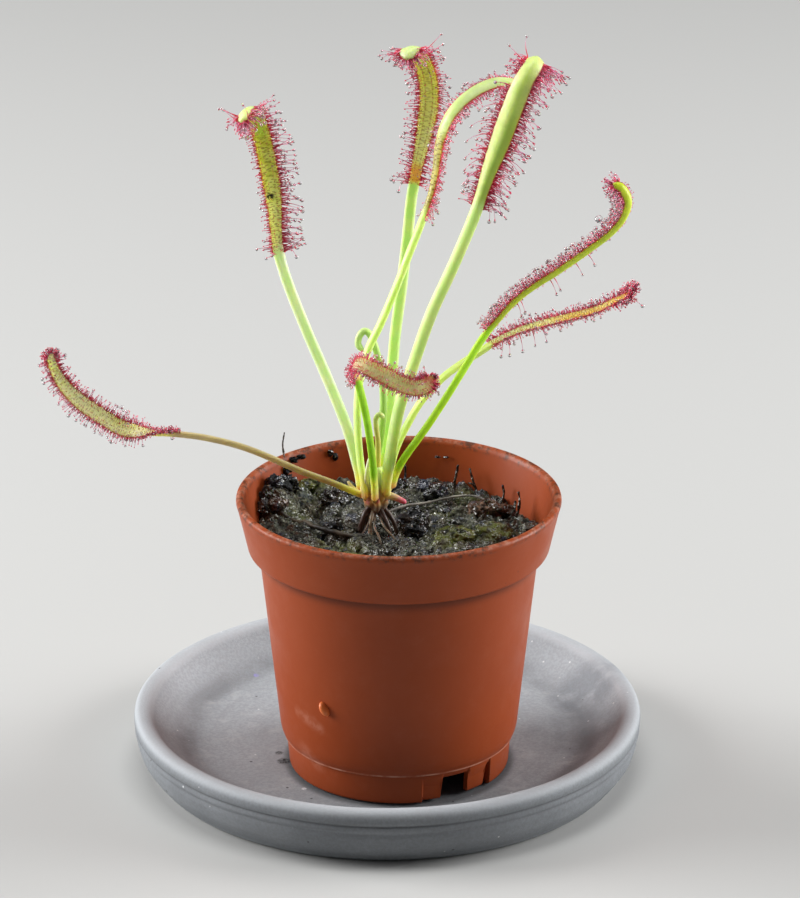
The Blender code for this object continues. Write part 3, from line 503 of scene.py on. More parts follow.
BLACK_LUMPS = (                 # centre, half sizes, seed, roughness
    ((-18.8, 1.3, 50.9), (2.0, 1.6, 1.7), 41, 0.18), ((-16.9, 2.8, 50.6), (1.7, 1.4, 1.4), 42, 0.20),
    ((-20.3, -1.0, 50.0), (1.2, 1.3, 1.4), 43, 0.2), ((-9.5, 3.4, 47.2), (2.6, 2.1, 1.7), 44, 0.24),
    ((4.4, -5.6, 47.2), (2.6, 2.1, 1.9), 45, 0.18), ((4.6, -10.0, 47.2), (1.9, 1.7, 1.7), 46, 0.14),
    ((-9.2, -9.0, 46.9), (1.7, 1.2, 1.2), 47, 0.2), ((7.5, 5.5, 47.6), (2.7, 2.1, 1.8), 48, 0.24),
    ((2.0, 8.4, 47.2), (2.0, 1.5, 1.6), 49, 0.24), ((-20.8, -2.8, 48.4), (1.1, 1.3, 1.3), 63, 0.2),
    ((-9.8, 12.7, 52.2), (0.50, 0.30, 0.60), 64, 0.15), ((-8.95, 13.1, 51.3), (0.50, 0.30, 0.60), 70, 0.15),
    ((-16.0, 8.3, 52.7), (0.75, 0.5, 0.5), 65, 0.2), ((-14.7, 9.4, 52.8), (0.75, 0.45, 0.4), 66, 0.2),
    ((-17.2, 6.8, 51.4), (0.85, 0.7, 0.8), 67, 0.2), ((8.7, 14.3, 50.8), (0.5, 0.2, 0.2), 68, 0.2),
    ((10.2, 13.9, 50.9), (0.45, 0.2, 0.18), 69, 0.2),
)
BARK_LUMPS = (
    ((-18.6, -2.4, 49.0), (1.8, 1.5, 1.2), 51, 0.14), ((16.9, -2.6, 47.8), (2.8, 2.0, 1.8), 52, 0.18),
    ((20.2, -1.6, 47.2), (1.6, 1.3, 1.3), 53, 0.2), ((-2.0, 11.5, 46.8), (1.8, 1.2, 1.0), 54, 0.2),
)
GREEN_LUMPS = (
    ((11.4, -13.0, 47.3), (3.4, 2.5, 1.7), 55, 0.12), ((18.0, -11.0, 47.2), (2.9, 2.2, 1.6), 56, 0.13),
    ((-5.6, -21.4, 46.4), (3.0, 1.9, 1.2), 57, 0.1), ((-14.0, 6.2, 48.7), (2.0, 1.5, 1.0), 58, 0.14),
)


def joined(parts):
    """One list of points and one of faces from several pairs of them."""
    points, faces, count = [], [], 0
    for some_points, some_faces in parts:
        points.append(some_points)
        faces += [tuple(i + count for i in face) for face in some_faces]
        count += len(some_points)
    return np.vstack(points), faces


def crumb_surface(x, y):
    """Height over the soil's level: Gaussian lumps, then the highest of many crumbs, each a flat
    ball z + 1.05 sqrt(r^2 - d^2) over its own centre, then a fine unevenness."""
    rng = np.random.default_rng(11)
    level = np.zeros_like(x)
    for lump_x, lump_y, height, radius in SOIL_LUMPS:
        level += height * np.exp(-(((x - lump_x) ** 2 + (y - lump_y) ** 2) / radius ** 2) ** 1.4)
    spots = np.stack([x, y, 0 * x], -1)
    warped_x = x + 0.30 * unevenness(spots, 2.2, 21)
    warped_y = y + 0.30 * unevenness(spots, 2.2, 22)
    way, distance = rng.uniform(0, 2 * math.pi, CRUMBS), SOIL_RADIUS * np.sqrt(rng.uniform(0, 1, CRUMBS))
    crumb_x, crumb_y = POT_CENTRE[0] + distance * np.cos(way), POT_CENTRE[1] + distance * np.sin(way)
    size = 0.45 + 1.35 * rng.uniform(0, 1, CRUMBS) ** 2.6
    sunk = rng.uniform(-0.95, 0.0, CRUMBS)
    piled = np.full_like(x, -0.9)
    for i in range(CRUMBS):
        near = (np.abs(warped_x - crumb_x[i]) < size[i]) & (np.abs(warped_y - crumb_y[i]) < size[i])
        inside = size[i] ** 2 - (warped_x[near] - crumb_x[i]) ** 2 - (warped_y[near] - crumb_y[i]) ** 2
        piled[near] = np.maximum(piled[near], sunk[i] * size[i] + 1.05 * np.sqrt(np.maximum(inside, 0.0)))
    return level + piled + 0.13 * unevenness(spots, 0.9, 23) + 0.07 * unevenness(spots, 0.45, 24)


span = np.linspace(-1.0, 1.0, SOIL_SIDE + 1)
u, v = np.meshgrid(span, span, indexing="ij")
x = POT_CENTRE[0] + SOIL_RADIUS * u * np.sqrt(1 - v ** 2 / 2)
y = POT_CENTRE[1] + SOIL_RADIUS * v * np.sqrt(1 - u ** 2 / 2)
top_points = np.stack([x, y, np.maximum(SOIL_LEVEL + crumb_surface(x, y), SOIL_LOWEST)], -1).reshape(-1, 3)
n = SOIL_SIDE + 1
grid = np.arange(n * n).reshape(n, n)
faces = squares(grid)
edge = np.concatenate([grid[:-1, 0], grid[-1, :-1], grid[:0:-1, -1], grid[0, :0:-1]])
outward = unit(top_points[edge][:, :2] - POT_CENTRE)
levels = [(h, inner_radius(h) - 0.3) for h in (COLLAR_FOOT + 0.7, COLLAR_FOOT - 1.1, 22.0, FLOOR_TOP + 0.9)]
levels += [(FLOOR_TOP + 0.3, inner_radius(FLOOR_TOP) - 1.1), (FLOOR_TOP + 0.3, 8.0)]
side_rings = [np.column_stack([POT_CENTRE + outward * radius, np.full(len(edge), POT_BOTTOM + height)])
              for height, radius in levels]
pole = n * n + len(levels) * len(edge)
ring = [edge, *np.arange(n * n, pole).reshape(len(levels), -1)]
for a, b in zip(ring[:-1], ring[1:]):
    faces += np.stack([a, b, np.roll(b, -1), np.roll(a, -1)], -1).tolist()
faces += np.stack([ring[-1], np.full(len(edge), pole), np.roll(ring[-1], -1)], -1).tolist()
points = np.vstack([top_points, *side_rings, [[*POT_CENTRE, POT_BOTTOM + FLOOR_TOP + 0.3]]])

green = np.zeros(len(points))
for algae_x, algae_y, radius, strength in ALGAE:
    apart = np.hypot(points[:, 0] - algae_x, points[:, 1] - algae_y)
    grown = np.clip(1.25 - apart / radius + 0.25 * unevenness(points, 2.5, 31), 0, 1)
    green = np.maximum(green, strength * grown)


def wet_finish(name, dark, pale, gloss, grain):
    """Wet crumbly stuff: two colours in patches of several sizes, algae where the green spread says,
    and a film of water whose gloss comes and goes."""
    wet = Finish(name, 0.3, 0.75)
    wet.ground(wet.patchy(grain * 4, 0.35, 0.68, 0.0, 1.0, 5.0, 0.7), dark, pale)
    wet.coat((0.060, 0.034, 0.020), wet.patchy(grain * 6, 0.50, 0.66, 0.0, 0.55))
    wet.coat(tuple(2.6 * c + 0.020 for c in pale), wet.patchy(grain, 0.48, 0.68, 0.0, 0.72, 3.0, 0.7))
    algae = wet.mixed(wet.cloud(1.1, 4.0, 0.7), (0.040, 0.055, 0.008), (0.24, 0.25, 0.070))
    grown = wet.product(wet.spread("green"), wet.patchy(1.6, 0.32, 0.55, 0.0, 1.0, 4.0))
    wet.coat(algae, grown)
    # Painted bluish sheen in patches, kept off the algae.
    wet.coat((0.042, 0.050, 0.078), wet.patchy(3.6, 0.55, 0.68, 0.0, 0.8),
             wet.calculated("SUBTRACT", 1.0, grown))
    # The pale grey and the bluish specks are painted glints of the wet surface; the brown specks are grains.
    for size, radius, share, colour in ((1.15, 0.17, 0.30, (0.36, 0.37, 0.34)),
                                        (0.85, 0.22, 0.16, (0.38, 0.42, 0.50)),
                                        (0.7, 0.20, 0.14, (0.28, 0.19, 0.11))):
        wet.coat(colour, wet.specks(size, radius, share))
    dry = wet.patchy(grain * 2.6, 0.44, 0.58, 0.0, 1.0, 3.0, 0.6)
    wet.drive("Roughness", wet.eased(dry, 0.0, 1.0, *gloss))
    wet.drive("Specular IOR Level", wet.eased(dry, 0.0, 1.0, 0.95, 0.15))
    broad = wet.calculated("MULTIPLY", wet.cloud(2.0, 2.0), 1.5)
    wet.relief(wet.calculated("ADD", wet.cloud(0.95, 2.0, 0.5), broad), 0.9, 1.0)
    return wet


peat = wet_finish("wet_peat", (0.007, 0.0065, 0.0055), (0.092, 0.092, 0.072), (0.11, 0.60), 0.8)
soil = add_piece("soil_peat", points, faces, peat, "peat", green=green)
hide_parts("soil")


def lump(centre, size, seed, rough):
    """An uneven ball: a unit ball times 1 + rough noise, stretched by size, and moved to centre."""
    points, faces = unit_ball(np.cos(np.linspace(0.0, math.pi, 28)[1:-1]), 40)
    swell = 1 + rough * unevenness(points, 0.9, seed) + rough * 0.5 * unevenness(points, 0.4, seed + 1)
    return points * swell[:, None] * size + centre, faces


black_peat = wet_finish("black_peat", (0.0025, 0.0025, 0.003), (0.010, 0.011, 0.014), (0.09, 0.5), 0.8)
bark = wet_finish("brown_bark", (0.022, 0.012, 0.008), (0.095, 0.050, 0.030), (0.15, 0.6), 0.9)
for name, finish, lumps, grown in (("soil_black_lumps", black_peat, BLACK_LUMPS, 0.0),
                                   ("soil_bark", bark, BARK_LUMPS, 0.0),
                                   ("soil_algae_lumps", peat, GREEN_LUMPS, 1.0)):
    points, faces = joined([lump(*row) for row in lumps])
    add_piece(name, points, faces, finish, "peat", green=np.full(len(points), grown))

# Fibres, roots and twigs in the soil
# Peat fibres lie all over the surface, one long grey root runs from the crown to the right, and a
# few bare twigs stand by the far wall. All are thin, bent and matt.
FIBRES = 90
LONG_ROOT = ((0.4, -3.0, 47.8), (3.4, -1.6, 48.3), (6.5, -0.5, 48.3), (9.5, 0.6, 48.6), (12.4, 1.1, 48.9),
             (15.0, 0.8, 49.0), (17.4, -0.2, 48.4))
RIDGE = ((-19.4, -2.4, 46.9), (-15.0, -6.0, 47.1), (-11.2, -9.5, 47.4), (-7.0, -12.0, 47.3),
         (-2.6, -13.4, 46.9))
TWIGS = (                       # radius, then the points of the centre line
    (0.30, ((11.4, 9.6, 45.6), (11.6, 10.2, 47.4), (11.9, 10.6, 49.0), (12.2, 10.9, 50.6))),
    (0.26, ((15.7, 8.0, 45.6), (15.2, 8.8, 47.2), (14.6, 9.6, 48.9), (14.2, 10.2, 50.3))),
    (0.20, ((15.2, 8.8, 47.4), (14.6, 8.6, 48.0), (13.9, 8.6, 48.3))),
    (0.24, ((2.9, 12.4, 46.4), (3.1, 12.8, 48.6), (3.0, 13.0, 50.4))),
    (0.26, ((22.0, -1.0, 46.0), (22.5, -0.6, 47.6), (22.6, -0.4, 49.0), (22.4, -0.2, 50.2))),
    (0.24, ((19.6, 4.8, 45.8), (20.0, 5.2, 47.6), (19.8, 5.4, 49.2))),
    (0.30, ((20.6, -3.4, 46.4), (21.6, -2.4, 47.8), (21.8, -1.4, 49.0))),
    (0.18, ((-17.0, 6.4, 51.0), (-17.6, 7.6, 53.2), (-17.9, 8.4, 55.4), (-17.6, 8.6, 57.6))),
)


def smooth_path(knots, per_span):
    """Catmull-Rom curve: 0.5 (2b + (c - a) t + (2a - 5b + 4c - d) t^2 + (3b - a - 3c + d) t^3) between
    b and c of each four knots in a row, the end knots mirrored."""
    knots = np.array(knots, float)
    knots = np.vstack([2 * knots[0] - knots[1], knots, 2 * knots[-1] - knots[-2]])
    t = np.linspace(0.0, 1.0, per_span, endpoint=False)[:, None]
    spans = [0.5 * (2 * b + (c - a) * t + (2 * a - 5 * b + 4 * c - d) * t ** 2
                    + (3 * b - a - 3 * c + d) * t ** 3)
             for a, b, c, d in zip(knots[:-3], knots[1:-2], knots[2:-1], knots[3:])]
    return np.vstack(spans + [knots[-2][None]])


def tangents(path):
    return unit(np.gradient(path, axis=0))


def carried_faces(path, start, face):
    """Unit vectors square to the path that face one way at index start and don't spin about it."""
    along = tangents(path)
    faces = np.zeros_like(path)
    faces[start] = unit(face - along[start] * np.dot(along[start], face))
    for step in (1, -1):
        i = start
        while 0 <= i + step < len(path):
            faces[i + step] = unit(faces[i] - along[i + step] * faces[i].dot(along[i + step]))
            i += step
    return faces


def strand(path, radii, sides=8, knobby=0.0, seed=0):
    """A round tube along a path, radius r(i) at each of its points, closed to a point at both ends."""
    along = tangents(path)
    side = carried_faces(path, 0, np.roll(along[0], 1) + (0.1, 0.2, 0.0))
    across = np.cross(along, side)
    turn = around(sides)[None, :, None]
    rings = side[:, None] * np.cos(turn) + across[:, None] * np.sin(turn)
    radii = np.asarray(radii, float)[:, None, None]
    if knobby:
        radii = radii * (1 + knobby * unevenness(path[:, None] + rings * radii, 1.1, seed))[..., None]
    rings = path[:, None] + rings * radii
    blunt = 0.6 * radii[:, 0, 0]
    return lofted(rings, path[0] - along[0] * blunt[0], path[-1] + along[-1] * blunt[-1])


def strand_finish(name, roughness, specular, dark, pale, patch, grain):
    """Matt dry strands: two colours in patches, with a fine grain."""
    matt = Finish(name, roughness, specular)
    matt.ground(matt.patchy(patch, 0.35, 0.65, 0.0, 1.0, 4.0), dark, pale)
    matt.relief(matt.cloud(grain), 0.08, 0.6)
    return matt


rng = np.random.default_rng(7)
fibres = []
while len(fibres) < FIBRES:
    way, distance = rng.uniform(0, 2 * math.pi), SOIL_RADIUS * 0.93 * math.sqrt(rng.uniform(0, 1))
    middle = POT_CENTRE + distance * np.array((math.cos(way), math.sin(way)))
    heading, length = rng.uniform(0, 2 * math.pi), rng.uniform(1.6, 5.5)
    course = heading + rng.uniform(-0.9, 0.9) * np.linspace(-1.0, 1.0, 6)
    line = middle + np.cumsum(np.stack([np.cos(course), np.sin(course)], -1), axis=0) * length / 6
    apart = line - POT_CENTRE
    line = POT_CENTRE + apart * np.minimum(1.0, (SOIL_RADIUS - 0.6) / np.linalg.norm(apart, axis=1))[:, None]
    fibres.append((line, rng.uniform(0.05, 0.13), rng.uniform(0.1, 0.5)))
lines = np.stack([line for line, _, _ in fibres])
rises = SOIL_LEVEL + crumb_surface(lines[..., 0], lines[..., 1])
parts = []
for (line, radius, over), rise in zip(fibres, rises):
    level = np.maximum(rise, rise.mean()) + over * np.linspace(0.2, 1.0, 6)
    path = smooth_path(np.column_stack([line, level]), 2)
    parts.append(strand(path, np.linspace(radius, radius * 0.5, len(path)), 5))
ridge = smooth_path(RIDGE, 8)
ridge[:, 2] = np.maximum(ridge[:, 2], SOIL_LEVEL + crumb_surface(ridge[:, 0], ridge[:, 1]) - 0.1)
swell = np.sin(np.linspace(0.25, math.pi - 0.25, len(ridge))) ** 0.5
parts.append(strand(ridge, 0.42 * swell, 10, knobby=0.22, seed=61))
fibre = strand_finish("peat_fibre", 0.5, 0.5, (0.018, 0.015, 0.011), (0.11, 0.085, 0.055), 4.0, 0.25)
add_piece("soil_fibres", *joined(parts), fibre, "peat")

long_root = smooth_path(LONG_ROOT, 8)
over = SOIL_LEVEL + crumb_surface(long_root[:, 0], long_root[:, 1]) + 0.1
long_root[:, 2] = 0.5 * long_root[:, 2] + 0.5 * np.maximum(long_root[:, 2], over)
points, faces = strand(long_root, np.linspace(0.22, 0.17, len(long_root)), 8, knobby=0.2, seed=62)
grey_root = strand_finish("grey_root", 0.55, 0.4, (0.14, 0.13, 0.12), (0.36, 0.33, 0.30), 2.0, 0.3)
add_piece("soil_long_root", points, faces, grey_root, "peat")

parts = []
for number, (radius, line) in enumerate(TWIGS):
    path = smooth_path(line, 6)
    parts.append(strand(path, np.linspace(radius, radius * 0.7, len(path)), 8, knobby=0.3, seed=70 + number))
points, faces = joined(parts)
twig = wet_finish("dark_twig", (0.010, 0.008, 0.006), (0.045, 0.030, 0.020), (0.3, 0.6), 0.4)
add_piece("soil_twigs", points, faces, twig, "peat", green=np.zeros(len(points)))

# Crown and stilt roots
# The plant's short stem, where all the leaf stalks meet, flushed orange and pink. It stands a
# little above the soil on its own roots, some dark red-brown and some pale.
CROWN = np.array((-1.9, -8.3))
CROWN_COLUMNS = 40
CROWN_PROFILE = ((0.6, 55.65), (1.2, 55.2), (1.65, 54.6), (1.8, 53.6), (1.9, 52.4), (1.9, 51.2),
                 (1.6, 50.4), (1.0, 49.9))
SHEATH_PROFILE = ((0.8, 58.2), (1.5, 57.6), (2.1, 56.4), (2.5, 55.2), (2.55, 54.0), (2.2, 53.0),
                  (1.6, 52.1), (0.9, 51.5))
ROOTS = (                       # radius, how pale, then the points of the centre line
    (0.62, 0.05, ((-2.8, -9.2, 51.0), (-3.9, -10.0, 49.7), (-4.4, -10.3, 47.4), (-4.4, -10.3, 43.8))),
    (0.36, 1.0, ((-2.3, -9.5, 50.8), (-2.7, -10.8, 49.3), (-2.8, -11.4, 47.2), (-2.8, -11.5, 43.6))),
    (0.45, 0.1, ((-1.3, -9.2, 50.9), (-0.3, -10.5, 49.4), (0.5, -11.3, 47.3), (0.9, -11.6, 43.7))),
    (0.45, 0.15, ((-0.9, -8.4, 51.0), (0.5, -8.9, 49.5), (1.5, -9.2, 47.2), (1.9, -9.3, 43.9))),
    (0.50, 0.2, ((-2.4, -7.3, 51.0), (-3.2, -6.3, 49.3), (-3.5, -5.9, 47.0), (-3.5, -5.8, 43.6))),
    (0.45, 0.1, ((-1.3, -7.5, 50.9), (-0.4, -6.5, 49.2), (0.0, -6.1, 47.0), (0.1, -6.0, 43.8))),
    (0.20, 0.5, ((-2.0, -9.8, 50.2), (-2.1, -11.6, 48.6), (-1.4, -13.0, 47.4), (-0.9, -13.8, 46.2))),
    (0.18, 0.5, ((-1.4, -9.6, 50.0), (-0.6, -11.9, 48.9), (0.9, -13.3, 47.6), (1.9, -14.0, 46.4))),
    (0.16, 0.2, ((-2.6, -9.4, 50.0), (-3.4, -11.6, 48.4), (-4.6, -12.8, 47.2), (-5.8, -13.2, 46.4))),
)


def pleated(profile, corner, pleats, grain, seed, ends):
    """A turned stem whose radius is times 1 + sum of k cos(n a + f) over its pleats (k, n, f), plus
    a little unevenness, closed at the heights of its two ends."""
    turns = around(CROWN_COLUMNS)
    rings = turned_rings(softened(profile, corner, 3), turns)
    folds = sum(depth * np.cos(count * turns + shift) for depth, count, shift in pleats)
    rings[..., :2] *= (1 + folds[None] + 0.05 * unevenness(rings, grain, seed))[..., None]
    rings[..., :2] += CROWN
    return lofted(rings, (*CROWN, ends[0]), (*CROWN, ends[1]))


def translucent(finish, weight, depth, radius):
    """Soft tissue: light spreads inside by radius (red, green, blue) times the depth."""
    finish.shader.inputs["Subsurface Weight"].default_value = weight
    finish.shader.inputs["Subsurface Radius"].default_value = radius
    finish.shader.inputs["Subsurface Scale"].default_value = depth * MM
    return finish


parts = [pleated(CROWN_PROFILE, corner=0.5, pleats=((0.10, 5, 0.6), (0.06, 9, 0.0)), grain=1.2, seed=81,
                 ends=(55.8, 49.7))]
pale = [np.full(len(parts[0][0]), 0.5)]
for number, (radius, tone, line) in enumerate(ROOTS):
    path = smooth_path(line, 6)
    parts.append(strand(path, radius * np.linspace(1.05, 0.75, len(path)), 10, knobby=0.12, seed=90 + number))
    pale.append(np.full(len(parts[-1][0]), tone))
points, faces = joined(parts)
stem = translucent(Finish("crown_tissue", 0.42, 0.5), 0.12, 0.6, (1.0, 0.2, 0.1))
stem.ground(stem.spread("pale"), (0.040, 0.011, 0.009), (0.46, 0.35, 0.22))
stem.coat((0.03, 0.02, 0.016), stem.patchy(1.2, 0.4, 0.65, 0.0, 0.6, 4.0))
flush = stem.mixed(stem.patchy(1.8, 0.4, 0.6), (0.62, 0.19, 0.13), (0.80, 0.50, 0.15))
height = stem.put("SeparateXYZ", {"Vector": stem.place}).outputs["Z"]
stem.coat(flush, stem.within(height, 51.2, 52.4))
stem.relief(stem.cloud(0.5, 4.0), 0.12, 0.5)
crown = add_piece("crown_and_roots", points, faces, stem, "stem", pale=np.concatenate(pale))
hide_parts("crown")

points, faces = pleated(SHEATH_PROFILE, corner=0.6, pleats=((0.10, 8, 0.4), (0.05, 3, 0.0)), grain=1.6,
                        seed=82, ends=(58.3, 51.3))
sheath = translucent(Finish("sheath_tissue", 0.42, 0.45), 0.5, 1.2, (1.0, 0.8, 0.4))
parts = sheath.put("SeparateXYZ", {"Vector": sheath.place})
left = sheath.mixed(sheath.cloud(1.6), (0.78, 0.17, 0.17), (0.92, 0.50, 0.28))
right = sheath.mixed(sheath.cloud(1.6), (0.88, 0.46, 0.08), (0.94, 0.80, 0.30))
sheath.ground(sheath.within(parts.outputs["X"], -3.6, -2.2), left, right)
sheath.coat((0.70, 0.82, 0.30), sheath.within(parts.outputs["Z"], 53.0, 55.6))
sheath.relief(sheath.cloud(0.6), 0.10, 0.4)
add_piece("crown_sheath", points, faces, sheath, "stem")

# Leaves
# Eight grown leaves: a smooth green stalk, slightly channelled, that widens into a long strap-shaped
# blade. The blade's upper face is dotted with the feet of its tentacles; its back is smooth, pale
# and keeled. Old leaves lean outwards and turn yellow and orange.
STALK_BASE = (1.35, 1.15)       # width and thickness where a leaf leaves the crown
LEAF_COLUMNS = 28
BLADE_CUP = 0.22
